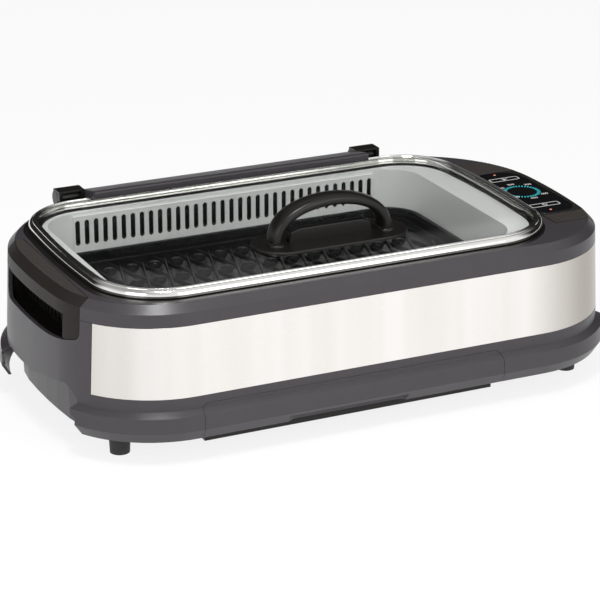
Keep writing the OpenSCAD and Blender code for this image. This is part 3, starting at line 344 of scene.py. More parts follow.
def clear_glass():
    material, tree = new_nodes("clear_glass")
    place = node(tree, "ShaderNodeTexCoord").outputs["Object"]
    haze = node(tree, "ShaderNodeTexNoise", {"Vector": place, "Scale": 9.0, "Detail": 3.0}).outputs[0]
    tint = mix_color(tree, haze, (0.975, 0.985, 0.98), (0.99, 0.995, 0.993))
    rough = remap(tree, haze, 0, 1, 0.0, 0.02)
    clear = node(tree, "ShaderNodeBsdfTransparent", {"Color": tint})
    mirror = node(tree, "ShaderNodeBsdfAnisotropic", {"Color": (1, 1, 1, 1), "Roughness": rough})
    facing = node(tree, "ShaderNodeLayerWeight", {"Blend": 0.5}).outputs["Facing"]
    grazing = combine(tree, facing, 5.0, "POWER")
    share = remap(tree, grazing, 0, 1, MIRROR_STRAIGHT, MIRROR_GRAZING)
    mix = node(tree, "ShaderNodeMixShader", {0: share, 1: clear.outputs[0], 2: mirror.outputs[0]})
    node(tree, "ShaderNodeOutputMaterial", {"Surface": mix.outputs[0]})
    FINISHES["clear_glass"] = material


clear_glass()
print("finishes:", len(FINISHES))

# %% [markdown]
# ## The pieces that stay as they are
#
# Feet, tray, pan, liner, fan, boards and screws already have their real shape. They keep their meshes and
# get the finish of their material, and their round faces are shaded smooth. The pan shows through the
# lifting arches, where it has the look of the housing above it.

# %% Dress the pieces of the assembly
SMOOTH = radians(32)
COATS = {"bottom_pan": "dark_plastic"}

for part in frame["record"]["subparts"]:
    cad = frame["nodes"][part["node"]]
    cad.data.materials.clear()
    cad.data.materials.append(FINISHES[COATS.get(part["node"], part["material_slot"])])
    cad.data.shade_smooth()
    cad.data.set_sharp_from_angle(angle=SMOOTH)

# %% [markdown]
# ## Outlines
#
# Seen from above, body and lid are rounded rectangles with a straight front and back and bowed sides. One
# function draws them: two corner arcs and a long flat arc that meet without a kink. Its argument off
# grows or shrinks the outline, so that every shell, seam and rim follows the same line.

# %% Outline functions
def arc(cx, cy, r, a0, a1, steps):
    """Points on an arc. Angles are in radians."""
    turns = [a0 + (a1 - a0) * i / steps for i in range(steps + 1)]
    return [(cx + r * cos(t), cy + r * sin(t)) for t in turns]


def bowed(w, d, bow, rf, rr, off, corner=18, side=10):
    """A rounded rectangle with bowed sides, a radius rf for the front corners and rr for the rear ones."""
    a, b, s, f, r = w / 2 + off, d / 2 + off, bow + off, rf + off, rr + off
    hf = sqrt((s - f) ** 2 - (b - f) ** 2)
    hr = sqrt((s - r) ** 2 - (b - r) ** 2)
    tf, tr = atan2(b - f, hf), atan2(b - r, hr)
    right = arc(a - s + hf, f - b, f, -pi / 2, -tf, corner)
    right += arc(a - s, 0, s, -tf, tr, side)[1:-1]
    right += arc(a - s + hr, b - r, r, tr, pi / 2, corner)
    return right + [(-x, y) for x, y in reversed(right)]


BODY_W, BODY_D = 520, 300
LID_X, LID_W, LID_D = -12.5, 430, 258


def body_line(off):
    return bowed(BODY_W, BODY_D, 650, 92, 126, off)


def lid_line(off):
    return [(x + LID_X, y) for x, y in bowed(LID_W, LID_D, 960, 64, 56, off)]


def rounded(x0, x1, y0, y1, r, steps=8):
    """A rectangle with round corners."""
    return (arc(x1 - r, y0 + r, r, -pi / 2, 0, steps) + arc(x1 - r, y1 - r, r, 0, pi / 2, steps)
            + arc(x0 + r, y1 - r, r, pi / 2, pi, steps) + arc(x0 + r, y0 + r, r, pi, 1.5 * pi, steps))


print("body outline:", len(body_line(0)), "points")

# %% [markdown]
# ## From outlines to solids
#
# Every moulding here is a loft: loops with the same number of points, joined by quads. A closed profile
# swept round an outline gives a ring, a stack of outlines gives a block with slanted walls, and an
# outline drawn at two levels gives a prism. Holes are cut with exact booleans, and a narrow bevel then
# rounds every edge, since no moulded or folded edge is ever perfectly sharp, and it is the rounded edge
# that catches the light.

# %% Lofts
def loft(loops, wrap=False):
    """Points and faces of a skin through loops of equal length, closed at its ends or wrapped round."""
    n = len(loops[0])
    m = len(loops)
    points = [p for loop in loops for p in loop]
    faces = [[i * n + j, i * n + (j + 1) % n, (i + 1) % m * n + (j + 1) % n, (i + 1) % m * n + j]
             for i in range(m if wrap else m - 1) for j in range(n)]
    if not wrap:
        faces += [list(range(n))[::-1], list(range((m - 1) * n, m * n))]
    return points, faces


def ring(profile, line):
    """A closed profile of (offset, height) points swept round an outline."""
    return loft([[(x, y, z) for x, y in line(off)] for off, z in profile], wrap=True)


def stack(levels, line):
    """A solid through outlines at rising heights."""
    return loft([[(x, y, z) for x, y in line(off)] for off, z in levels])


def prism(outline, low, high, axis="z"):
    """An outline drawn across one axis and pulled from low to high along it."""
    place = {"x": lambda u, v, t: (t, u, v),
             "y": lambda u, v, t: (u, t, v),
             "z": lambda u, v, t: (u, v, t)}[axis]
    return loft([[place(u, v, t) for u, v in outline] for t in (low, high)])


def box(low, high):
    corners = [(low[0], low[1]), (high[0], low[1]), (high[0], high[1]), (low[0], high[1])]
    return prism(corners, low[2], high[2])


def lathe(at, profile, steps=24):
    """A profile of (radius, height) points turned round the vertical through at."""
    return loft([[(at[0] + r * cos(2 * pi * k / steps), at[1] + r * sin(2 * pi * k / steps), at[2] + z)
                  for k in range(steps)] for r, z in profile])


# %% Meshes, cuts and soft edges
def build(name, *parts):
    """One object from several parts, with its normals pointing out."""
    points, faces = [], []
    for part_points, part_faces in parts:
        start = len(points)
        points += [[c * MM for c in p] for p in part_points]
        faces += [[start + i for i in face] for face in part_faces]
    mesh = bpy.data.meshes.new(name)
    mesh.from_pydata(points, [], faces)
    work = bmesh.new()
    work.from_mesh(mesh)
    bmesh.ops.recalc_face_normals(work, faces=work.faces)
    work.to_mesh(mesh)
    work.free()
    piece = bpy.data.objects.new(name, mesh)
    bpy.context.collection.objects.link(piece)
    return piece


def settle(piece):
    """Turns the result of a piece's modifiers into its mesh."""
    graph = bpy.context.evaluated_depsgraph_get()
    done = bpy.data.meshes.new_from_object(piece.evaluated_get(graph))
    piece.modifiers.clear()
    piece.data = done
    return piece


def carve(piece, *parts, operation="DIFFERENCE"):
    for part in parts:
        cutter = build("cutter", part)
        step = piece.modifiers.new("carve", "BOOLEAN")
        step.object = cutter
        step.operation = operation
        step.solver = "EXACT"
        settle(piece)
        bpy.data.objects.remove(cutter)
    return piece


def soften(piece, width=0.6, segments=2, angle=30):
    """Rounds every edge that is sharper than angle, and shades the piece smooth with even normals."""
    piece.data.shade_smooth()
    if not width:
        piece.data.set_sharp_from_angle(angle=radians(angle))
    weld = piece.modifiers.new("weld", "WELD")
    weld.merge_threshold = 0.005 * MM
    if width:
        bevel = piece.modifiers.new("soften", "BEVEL")
        bevel.width = width * MM
        bevel.segments = segments
        bevel.angle_limit = radians(angle)
    piece.modifiers.new("normals", "WEIGHTED_NORMAL").keep_sharp = True
    return settle(piece)


def present(piece, body, slot, *nodes, coat=None):
    """Gives a piece its finish, hangs it on its body and lets it stand for the nodes that it replaces."""
    piece.data.materials.clear()
    piece.data.materials.append(FINISHES[coat or slot])
    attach(piece, body)
    if nodes:
        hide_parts(*nodes)
    print(piece.name, "has", len(piece.data.polygons), "faces")


# %% [markdown]
# ## The housing
#
# One large moulding makes the walls and the flared skirt, with the sockets that everything else is
# screwed to. It is a ring with a bent profile. The hand holes, the lifting arches under the sides, the
# mouth of the drawer, the mains socket and the vents at the back are then cut through it, and a shallow
# pocket takes the steel band.

# %% Housing profile and openings
FAR = 400
SEAM = 0.3
WALL = 2.8
BAND_LOW, BAND_TOP = 58.5, 120.5
BAND_X, BAND_LEAN = (-240, 244), 1.1
CAP_LOW = BAND_TOP + SEAM
HAND_Y = (-80, 50)
HAND_LOW = 94
LEG_Y = -99.7
LEG_R = 7.5
DRAWER_X = (-161.5, 121.5)
DRAWER_TOP = 51
INLET_X, INLET_Z, INLET_W, INLET_H = 110, 78, 28.6, 21.6
VENTS, VENT_X, VENT_W, VENT_PITCH, VENT_Z = 14, -114, 4, 12, (68, 90)
REAR_INSIDE = 130


def flare(z):
    """How far the wall leans out at height z."""
    return 3 * (BAND_TOP - z) / (BAND_TOP - BAND_LOW)


def band_outline(gap):
    """The band in the front view. Its ends lean out downwards a little, with the wall."""
    x0, x1 = BAND_X[0] - gap, BAND_X[1] + gap
    low, high = BAND_LOW - 5, 131
    out, back = BAND_LEAN * flare(low), BAND_LEAN * flare(high)
    return [(x0 - out, low), (x1 + out, low), (x1 + back, high), (x0 - back, high)]


def arch_outline():
    """The lifting arch in the side view: a hump that starts high in front and runs out to the rear."""
    return [(-105, 5), (-105, 36), (-99, 41), (-99, 49.4), (-93.1, 57), (-85, 61), (-75.5, 60),
            (-54.9, 56.2), (-22.6, 50), (11.3, 49), (38, 49.4), (48, 45.4), (50, 40), (44, 34), (44, 5)]


def hand_curve(gap):
    """The lower edge of a hand hole, from the front of the cap's leg to the rear corner of the hole."""
    front = LEG_Y - gap
    low = HAND_LOW
    start = arc(front + LEG_R, low + 15.5 - gap, LEG_R, pi, 1.4 * pi, 6)
    sweep = [(-80, low + 4.4 - gap), (-70, low + 2.4), (-58, low + 1), (-44, low + 0.2), (-30, low)]
    rear = arc(42, low + 8, 8, -pi / 2, 0, 6)
    return [(front, BAND_TOP + 9)] + start + sweep + rear + [(HAND_Y[1], BAND_TOP + 9)]


def drawer_outline(gap):
    x0, x1 = DRAWER_X
    return rounded(x0 - gap, x1 + gap, -30, DRAWER_TOP + gap, 7)


# %% Housing
SKIRT = [(5, 21.5), (10.8, 31), (9.5, 44), (3, 47.7)]


def housing_shell():
    outside = SKIRT + [(3, BAND_LOW), (0, BAND_TOP)]
    inside = [(-1.05 - WALL, BAND_TOP), (1.95 - WALL, BAND_LOW), (0.2, 46.7), (6.7, 42.5), (8, 31),
              (2.4, 21.5)]
    shell = build("housing_shell", ring(outside + inside, body_line))
    pocket = build("pocket", ring([(1.95, BAND_LOW), (9, BAND_LOW), (9, 130), (-1.5, 130)], body_line))
    carve(pocket, prism(band_outline(SEAM), -FAR, FAR, "y"), operation="INTERSECT")
    step = shell.modifiers.new("pocket", "BOOLEAN")
    step.object = pocket
    step.solver = "EXACT"
    settle(shell)
    bpy.data.objects.remove(pocket)
    carve(shell, prism(arch_outline(), -FAR, FAR, "x"), prism(hand_curve(SEAM), -FAR, FAR, "x"))
    carve(shell, prism(drawer_outline(SEAM), -FAR, -100, "y"))
    carve(shell, box((INLET_X - INLET_W / 2, REAR_INSIDE, INLET_Z - INLET_H / 2),
                     (INLET_X + INLET_W / 2, FAR, INLET_Z + INLET_H / 2)))
    starts = [VENT_X + VENT_PITCH * i for i in range(VENTS)]
    carve(shell, *[box((x, REAR_INSIDE, VENT_Z[0]), (x + VENT_W, FAR, VENT_Z[1])) for x in starts])
    return soften(shell, 0.7)


present(housing_shell(), "base", "dark_plastic", "base_housing")

# %% [markdown]
# ## The steel band
#
# A strip of stainless steel, brushed along its length, is wrapped round the front and the back of the
# housing and lies in its pocket. It is 0.8 mm thick. Its ends lean out with the wall, so that they look
# upright in the photograph's view.

# %% Steel band
def steel_wrap():
    low = BAND_LOW + 0.2
    wrap = build("steel_wrap", ring([(2.2, low), (3, low), (0, BAND_TOP), (-0.8, BAND_TOP)], body_line))
    carve(wrap, prism(band_outline(0), -FAR, FAR, "y"), operation="INTERSECT")
    return soften(wrap, 0.15)


present(steel_wrap(), "base", "satin_steel", "steel_band", coat="brushed_band_painted_reflections")

# %% [markdown]
# ## The top frame and its side caps
#
# The frame on top of the body is a shell with a wide chamfer. Two separate caps of a browner plastic
# close its sides, each with a leg that runs down beside the hand hole. All three are cut from one and the
# same shell, as a designer would do it, with a seam of 0.3 mm between them, so that their surfaces flow
# into each other. The recess round the lid is wider in front and at the left. Its floor gets the black
# plastic as a second material: painted shade for the dark gap round the lid.

# %% Shell of the top
EDGE, DECK = 132, 138.7
CHAMFER = 7
RECESS = DECK - 1.2
CAP_X = (-238, 205)
CAP_REAR = (61.7, 87.7)


def top_shell(name, low):
    outer = [(flare(low), low), (0, BAND_TOP)] if low < BAND_TOP else [(0, CAP_LOW)]
    shell = build(name, stack(outer + [(-0.6, EDGE), (-CHAMFER, DECK)], body_line))
    hollow = [(flare(low) - WALL, low - 1), (-WALL - 0.3, CAP_LOW), (-3.6, EDGE - 1.4),
              (-CHAMFER - 1.2, DECK - WALL)]
    return carve(shell, stack(hollow, body_line))


def cap_outline(rear, gap):
    """A side cap in the side view: the long cap and its leg, which ends in a round toe."""
    front = LEG_Y - gap
    toe = arc(front + LEG_R, HAND_LOW + 15.8, LEG_R, pi, 1.4 * pi, 6)
    return ([(front, 200)] + toe + [(HAND_Y[0] - 2, HAND_LOW + 5.6), (HAND_Y[0], HAND_LOW + 6.4),
            (HAND_Y[0], CAP_LOW - gap), (rear + gap, CAP_LOW - gap), (rear + gap, 200)])


# %% Top frame
OPENING, LID_GAP = -10, 2.5


def top_frame():
    frame_top = top_shell("top_frame", CAP_LOW)
    carve(frame_top, prism(lid_line(OPENING), 100, FAR))
    carve(frame_top, prism(lid_line(LID_GAP), RECESS, FAR))
    carve(frame_top, prism([(x - 5, y - 8) for x, y in lid_line(4)], RECESS, FAR))
    carve(frame_top, prism(cap_outline(CAP_REAR[0], SEAM), -FAR, CAP_X[0] + SEAM, "x"))
    carve(frame_top, prism(cap_outline(CAP_REAR[1], SEAM), CAP_X[1] - SEAM, FAR, "x"))
    soften(frame_top, 0.7)
    lip = [(-6, 133.4), (-6, 136.4), (-10, 136.4), (-10, 135.9), (-11.3, 135.9), (-11.3, 133.4)]
    inner_lip = build("inner_lip", ring(lip, lid_line))
    return frame_top, soften(inner_lip, 0.2)


def paint_recess_shade(piece, margin=6):
    """Paints shade on the recess floor, up to a margin round the lid: it gets the black plastic."""
    # The black plastic on the recess floor is painted shade.
    piece.data.materials.append(FINISHES["black_plastic"])
    for face in piece.data.polygons:
        in_recess = RECESS - 0.1 < face.center.z / MM < DECK - 0.35 and face.normal.z > -0.1
        spot = face.center.xy / MM
        beside_lid = abs(spot.x - LID_X) < LID_W / 2 + margin and abs(spot.y) < LID_D / 2 + margin
        if in_recess and beside_lid:
            face.material_index = 1


frame_top, inner_lip = top_frame()
present(frame_top, "base", "dark_plastic", "upper_bezel")
paint_recess_shade(frame_top)
present(inner_lip, "base", "dark_plastic", "upper_bezel")

# %% Side caps
LENS_X, LENS_Y = 226.5, -12
LENS_W, LENS_L = 41, 124


def lens_outline(grow):
    """The control lens is rounder on the outside than beside the lid."""
    x0, x1 = LENS_X - LENS_W / 2 - grow, LENS_X + LENS_W / 2 + grow
    y0, y1 = LENS_Y - LENS_L / 2 - grow, LENS_Y + LENS_L / 2 + grow
    big, small = LENS_W / 2 + grow, 9 + grow
    outside = arc(x1 - big, y0 + big, big, -pi / 2, 0, 16) + arc(x1 - big, y1 - big, big, 0, pi / 2, 16)
    inside = arc(x0 + small, y1 - small, small, pi / 2, pi, 8)
    inside += arc(x0 + small, y0 + small, small, pi, 1.5 * pi, 8)
    return outside + inside


def side_cap(name, side):
    cap = top_shell(name, HAND_LOW + 3)
    outline = cap_outline(CAP_REAR[side], 0)
    low, high = ((-FAR, CAP_X[0]), (CAP_X[1], FAR))[side]
    carve(cap, prism(outline, low, high, "x"), operation="INTERSECT")
    if side:
        carve(cap, prism(lens_outline(0.25), 137.3, 150))
    return soften(cap, 0.5)


present(side_cap("left_cap", 0), "base", "cap_plastic", "left_side_cap")
present(side_cap("right_cap", 1), "base", "cap_plastic", "right_side_cap")

# %% [markdown]
# The decks of the side caps are finely ribbed across. Each rib is a low half round, cut to end at the
# chamfer, so the ribs are real geometry, and their number follows from the length of the cap and the
# pitch. Their colour is a shade paler than the deck between them: a painted highlight for the light that
# the raised parts of a fine texture catch.

# %% Ribs on the caps
RIB_PITCH, RIB_WIDTH, RIB_HIGH, RIB_ROOT = 3.2, 1.7, 0.55, 0.1
RIB_INSET, RIB_CLEAR = 0.8, 2.5


def edge_at(y, line):
    """How far the outline reaches to the right at y."""
    right = [p for p in line if p[0] > 0]
    for (x0, y0), (x1, y1) in zip(right, right[1:]):
        if y0 <= y <= y1 and y1 > y0:
            return x0 + (x1 - x0) * (y - y0) / (y1 - y0)
    return right[-1][0]


def cap_ribs(name, side):
    deck = body_line(-CHAMFER)
    ribs = []
    y = LEG_Y + RIB_CLEAR
    while y < CAP_REAR[side] - 2:
        reach = edge_at(y, deck) - RIB_INSET
        inner = CAP_X[side] + (RIB_INSET if side else -RIB_INSET)
        beside_lens = side and abs(y - LENS_Y) < LENS_L / 2 + RIB_CLEAR
        if reach > abs(inner) + 1 and not beside_lens:
            low = DECK - RIB_ROOT
            flat = (RIB_HIGH + RIB_ROOT) / (RIB_WIDTH / 2)
            half_round = arc(y, low, RIB_WIDTH / 2, 0, pi, 6)
            profile = [(u, low + (v - low) * flat) for u, v in half_round]
            ribs.append(prism(profile, inner, copysign(reach, inner), "x"))
        y += RIB_PITCH
    piece = build(name, *ribs)
    piece.data.shade_smooth()
    piece.data.set_sharp_from_angle(angle=radians(50))
    return piece


for side, ribs_name in enumerate(("left_cap_ribs", "right_cap_ribs")):
    # The ribs get the paler finish: a painted highlight.
    present(cap_ribs(ribs_name, side), "base", "cap_plastic", coat="rib_painted_highlight")

# %% [markdown]
# ## The drawer front
#
# The drip tray's front continues the skirt of the housing, with the same bent profile, rounded upper
# corners and a recess below for the fingers. It slides out with the tray.

# %% Drawer front
def drawer_face():
    y = -BODY_D / 2
    skirt = [(y - out, z) for out, z in SKIRT]
    back = [(y - 3, DRAWER_TOP), (y + 0.4, DRAWER_TOP), (y + 0.4, 44), (y + 3.7, 41), (y + 3.7, 24.5),
            (y + 1, 21.5)]
    face = build("drawer_face", prism(skirt + back, DRAWER_X[0], DRAWER_X[1], "x"))
    carve(face, prism(drawer_outline(0), -FAR, -100, "y"), operation="INTERSECT")
    grip = arc(20, y - 10, 9, -pi / 2, pi / 2, 14) + arc(-75, y - 10, 9, pi / 2, 1.5 * pi, 14)
    carve(face, prism(grip, 0, 28))
    return soften(face, 0.55)


present(drawer_face(), "tray", "dark_plastic", "drawer_front")

# %% [markdown]
# ## The lid
#
# The pane is pressed from flat glass: a level border that the rim grips, a short steep step, and a gently
# crowned middle. The rise follows one smooth curve. The rim is rolled from polished sheet, leaning in
# towards the top, with a small double bead where it folds over the glass.

# %% Lid glass
GLASS_LOW, GLASS_T, CROWN = 140.6, 4, 7
STEP_OUT, STEP_IN = 9, 38


def rise(share):
    """Height of the crown, from 0 at the border to 1 in the middle."""
    return sin(pi / 2 * (1 - (1 - share) ** 1.35)) ** 1.3


def lid_pane():
    shares = [i / 18 for i in range(19)]
    crown = [(-STEP_OUT - (STEP_IN - STEP_OUT) * s, CROWN * rise(s)) for s in shares]
    under = [(off, GLASS_LOW + z) for off, z in reversed(crown)]
    over = [(off, GLASS_LOW + GLASS_T + z) for off, z in crown]
    top = GLASS_LOW + GLASS_T
    edge = [(-2, GLASS_LOW), (-1.4, GLASS_LOW + 0.6), (-1.4, top - 0.6), (-2, top)]
    pane = build("lid_pane", stack(under + edge + over, lid_line))
    pane.data.shade_smooth()
    pane.data.set_sharp_from_angle(angle=radians(50))
    return pane


present(lid_pane(), "lid", "clear_glass", "lid_glass")

# %% Lid rim
RIM_OUT = [(1.8, 138.5), (1.85, 139.4), (1.8, 140.3), (1.5, 141.6), (0.9, 142.9), (0.0, 144.0),
           (-1.0, 144.6), (-1.9, 144.75), (-2.1, 145.2), (-2.55, 145.5), (-3.05, 145.5), (-3.5, 145.2),
           (-3.7, 144.75), (-4.5, 144.75), (-4.8, 145.1), (-5.3, 145.25), (-5.8, 145.1), (-6.1, 144.75),
           (-7, 144.75)]
RIM_IN = [(-7, 144.66), (-1.9, 144.66), (-0.8, 143.9), (0.1, 142.7), (0.8, 141.3), (1.15, 140.1),
          (1.1, 139.1), (-7, 139.1), (-7, 138.5)]
rim = build("rolled_rim", ring(RIM_OUT + RIM_IN, lid_line))
present(soften(rim, 0), "lid", "bright_steel", "lid_rim")

# %% [markdown]
# ## The handle
#
# A broad arch of black plastic stands on an oval base plate. The arch is a rounded bar, wider than it is
# thick, swept along half an ellipse. Its section is a squared circle: sine and cosine raised to a power
# below one. A low upright web on the plate runs between the feet of the arch.

# %% Handle
HANDLE_Y, HANDLE_Z, SPAN = -86, 152.4, 104
BASE_L, BASE_W, BASE_T = SPAN + 40, 52, 3
ARCH_W, ARCH_T, ARCH_LIFT = 20, 10, 33.5


def squared(v):
    return copysign(abs(v) ** 0.7, v)


def stadium(length, width, steps=20):
    c = (length - width) / 2
    return (arc(LID_X + c, HANDLE_Y, width / 2, -pi / 2, pi / 2, steps)
            + arc(LID_X - c, HANDLE_Y, width / 2, pi / 2, 1.5 * pi, steps))


def section(width, thick, sides=28):
    turns = [2 * pi * k / sides for k in range(sides)]
    return [(squared(cos(t)) * width / 2, squared(sin(t)) * thick / 2) for t in turns]


def arch_bar():
    a, lift, steps = SPAN / 2, ARCH_LIFT, 48
    z0 = HANDLE_Z + BASE_T
    loops = []
    for i in range(steps + 1):
        u = pi * i / steps
        along = (-a * sin(u), lift * cos(u))
        size = hypot(*along)
        ex, ey = along[0] / size, along[1] / size
        loops.append([(LID_X + a * cos(u) + q * ey, p + HANDLE_Y, z0 + lift * sin(u) ** 0.8 - q * ex)
                      for p, q in section(ARCH_W, ARCH_T)])
    return loft(loops)


def arch_foot(side):
    """A low collar round each end of the arch."""
    z0 = HANDLE_Z + BASE_T - 0.1
    x = LID_X + side * SPAN / 2
    collar = ((2.4, 0), (2.3, 0.9), (1.6, 1.7), (0.2, 2.2))
    return loft([[(x + q, p + HANDLE_Y, z0 + z)
                  for p, q in section(ARCH_W + 2 * grow, ARCH_T + 2 * grow)] for grow, z in collar])


arch = build("handle_bar", arch_bar(), arch_foot(-1), arch_foot(1))
arch.data.shade_smooth()
arch.data.set_sharp_from_angle(angle=radians(40))
present(arch, "lid", "black_plastic", "handle_arch")

# %% Base plate of the handle
WEB, WEB_T = [(-40, 1), (-38, 12), (-30, 14.5), (30, 14.5), (38, 12), (40, 1)], 7
plate = build("handle_plate", prism(stadium(BASE_L, BASE_W), HANDLE_Z, HANDLE_Z + BASE_T))
web_outline = [(LID_X + u, HANDLE_Z + v) for u, v in WEB]
web = build("handle_web", prism(web_outline, HANDLE_Y - WEB_T / 2, HANDLE_Y + WEB_T / 2, "y"))
present(soften(plate, 0.9, 3), "lid", "black_plastic", "handle_base")
present(soften(web, 1.2, 3), "lid", "black_plastic", "handle_base")

# %% [markdown]
# ## The hinge bar
#
# A long bar of plastic lies across the rear of the glass and carries the lid. At each end an ear reaches
# over a hinge block: two cheeks with the pin between them and a curved roof above.

# %% Hinge bar
AXIS_Y, AXIS_Z = 153, 140
BAR_HALF, EAR_W, CHEEK = 139, 24.5, 3.2
HINGE_X = [LID_X - BAR_HALF - EAR_W / 2, LID_X + BAR_HALF + EAR_W / 2]
BAR = [(114, 147.2), (121, 145.6), (131.4, 145.6), (131.4, 140.4), (145.5, 140.4), (145.5, 147.9),
       (118, 153.9), (114, 153.3)]


def ear(x):
    front, over, under = AXIS_Y - 13, 9.4, 7.3
    roof = arc(AXIS_Y, AXIS_Z, over, acos(4 / over), pi / 2, 6)
    roof += [(front, AXIS_Z + over), (front, AXIS_Z + under)]
    roof += arc(AXIS_Y, AXIS_Z, over, radians(129.1), radians(173.9), 8)
    roof += arc(AXIS_Y, AXIS_Z, under, radians(172.1), acos(4 / under), 14)
    round_r = under + 0.05
    cheek = arc(AXIS_Y, AXIS_Z, round_r, -pi / 2, pi / 2, 12)
    cheek += [(front, AXIS_Z + round_r), (front, AXIS_Z)]
    cheek += arc(AXIS_Y, AXIS_Z, round_r, pi, 1.5 * pi, 8)[:-1]
    parts = [prism(roof, x - EAR_W / 2, x + EAR_W / 2, "x")]
    for low in (x - EAR_W / 2, x + EAR_W / 2 - CHEEK):
        parts.append(prism(cheek, low, low + CHEEK, "x"))
    return parts


bar = build("hinge_rail", prism(BAR, LID_X - BAR_HALF, LID_X + BAR_HALF, "x"))
present(soften(bar, 0.9, 3), "lid", "dark_plastic", "hinge_bar")
ears = build("hinge_ears", *ear(HINGE_X[0]), *ear(HINGE_X[1]))
present(soften(ears, 0.4), "lid", "black_plastic", "hinge_bar")

# %% [markdown]
# ## The grill plate
#
# The plate is cast aluminium with a non-stick coating. A rim with rounded lips surrounds a flat field
# with a lattice of slanting ridges and rows of round buttons between them. Slots along the front and the
# back let the fat run into the tray. The ridges are clipped to the field by intersecting their centre
# line with its edges.

# %% Plate size and outline
WELL_X, PLATE_Y, PLATE_Z, PLATE_T = -22, -0.25, 86, 4
PLATE_W, PLATE_D, PLATE_R, RIM_W = 368, 219.5, 34, 5
FIELD = (340, 203.5)
DOME_PITCH, ROW_PITCH, ROWS, ROW_DOMES = 21.8, 39, 5, 15
RIDGES_EACH_WAY = 13
SLOT_L, SLOT_W, SLOT_PITCH, SLOTS_EACH_WAY = 16, 3.2, 26, 6


def plate_line(off):
    x, y = PLATE_W / 2 + off, PLATE_D / 2 + off
    return rounded(WELL_X - x, WELL_X + x, PLATE_Y - y, PLATE_Y + y, PLATE_R + off, 14)


def ridge(offset, lean):
    """A slanting ridge with a rounded back, clipped to the field."""
    reach = FIELD[1] / 2
    slope = sin(lean) / cos(lean)
    ends = []
    for y in (-reach, reach):
        x = offset - slope * y
        if abs(x) > FIELD[0] / 2:
            x = copysign(FIELD[0] / 2, x)
            y = (offset - x) / slope
        ends.append((x, y))
    (x0, y0), (x1, y1) = ends
    if abs(y0) > reach or abs(y1) > reach or hypot(x1 - x0, y1 - y0) < 12:
        return None
    side = (cos(lean), sin(lean))
    profile = [(-1.7, -0.5), (-1.25, 1.2), (-0.7, 1.9), (0, 2.1), (0.7, 1.9), (1.25, 1.2), (1.7, -0.5)]
    top = PLATE_Z + PLATE_T
    return loft([[(WELL_X + x + side[0] * u, PLATE_Y + y + side[1] * u, top + v) for u, v in profile]
                 for x, y in ((x0, y0), (x1, y1))])


# %% Grill plate
DOME = [(6.7, -0.4), (6.2, 0.4), (5.7, 1.7), (5.1, 2.7), (4.2, 3.25), (2.8, 3.4), (1.0, 3.4)]


def cast_plate():
    top = PLATE_Z + PLATE_T
    high = PLATE_Z + 15
    profile = [(0, PLATE_Z), (0, high - 1.2), (-0.5, high - 0.3), (-1.5, high), (-RIM_W + 1.5, high),
               (-RIM_W + 0.5, high - 0.3), (-RIM_W, high - 1.2), (-RIM_W - 0.6, top + 2.4),
               (-RIM_W - 1.6, top + 0.8), (-RIM_W - 3.4, top)]
    tray = build("cast_plate", stack(profile, plate_line))
    slots = []
    for i in range(-SLOTS_EACH_WAY, SLOTS_EACH_WAY + 1):
        x = WELL_X + SLOT_PITCH * i
        for y in (PLATE_Y - PLATE_D / 2 + RIM_W + 5, PLATE_Y + PLATE_D / 2 - RIM_W - 5):
            slots.append(box((x - SLOT_L / 2, y - SLOT_W / 2, PLATE_Z - 1),
                             (x + SLOT_L / 2, y + SLOT_W / 2, top + 1)))
    return soften(carve(tray, *slots), 0.3)


def plate_relief():
    top = PLATE_Z + PLATE_T
    lean = atan2(DOME_PITCH / 2, ROW_PITCH)
    parts = []
    for sign in (-1, 1):
        for i in range(-RIDGES_EACH_WAY, RIDGES_EACH_WAY + 1):
            bar = ridge((i - 0.5) * DOME_PITCH, sign * lean)
            if bar:
                parts.append(bar)
    for row in range(ROWS):
        count = ROW_DOMES - row % 2
        y = PLATE_Y + ROW_PITCH * (row - ROWS // 2)
        for i in range(count):
            parts.append(lathe((WELL_X + DOME_PITCH * (i - (count - 1) / 2), y, top), DOME, 20))
    relief = build("plate_relief", *parts)
    relief.data.shade_smooth()
    relief.data.set_sharp_from_angle(angle=radians(55))
    return relief


present(cast_plate(), "base", "nonstick", "grill_plate")
present(plate_relief(), "base", "nonstick", "grill_plate")

# %% [markdown]
# ## The controls
#
# On the real grill a ring of teal dashes that tells the heat, two outlined keys and two red lamps shine
# through a gloss black lens. Here they are thin prints on the lens that glow by themselves, at a strength
# of one, so that each shows the colour that is written here. The keys have plain pictograms, and the ring
# has plain temperatures.

# %% Lens and printed marks
LENS_TOP = 139.2
PRINT = 0.06
RING_X, RING_Y, RING_R = 222.8, -10, 15.5


def glow(name, color, strength):
    material, tree = new_nodes(name)
    place = node(tree, "ShaderNodeTexCoord").outputs["Object"]
    uneven = node(tree, "ShaderNodeTexNoise", {"Vector": place, "Scale": 260.0}).outputs[0]
    tint = mix_color(tree, uneven, [c * 0.85 for c in color], [min(1, c * 1.1) for c in color])
    light = node(tree, "ShaderNodeEmission", {"Color": tint, "Strength": strength})
    node(tree, "ShaderNodeOutputMaterial", {"Surface": light.outputs[0]})
    FINISHES[name] = material


glow("teal_light", (0.06, 0.60, 0.66), 1.0)
glow("red_light", (0.95, 0.36, 0.33), 1.0)
glow("white_print", (0.78, 0.76, 0.74), 1.0)

lens = build("lens", prism(lens_outline(0), 137.4, LENS_TOP))
present(soften(lens, 0.35), "base", "lens_black", "control_lens")


# %% Ring of light
def dash(turn):
    """One dash of the ring, a little thicker at its outer end."""
    c, s = cos(turn), sin(turn)
    corners = [(RING_R - 1.6, -0.5), (RING_R + 1.6, -0.62), (RING_R + 1.6, 0.62), (RING_R - 1.6, 0.5)]
    outline = [(RING_X + r * c - t * s, RING_Y + r * s + t * c) for r, t in corners]
    return prism(outline, LENS_TOP, LENS_TOP + PRINT)


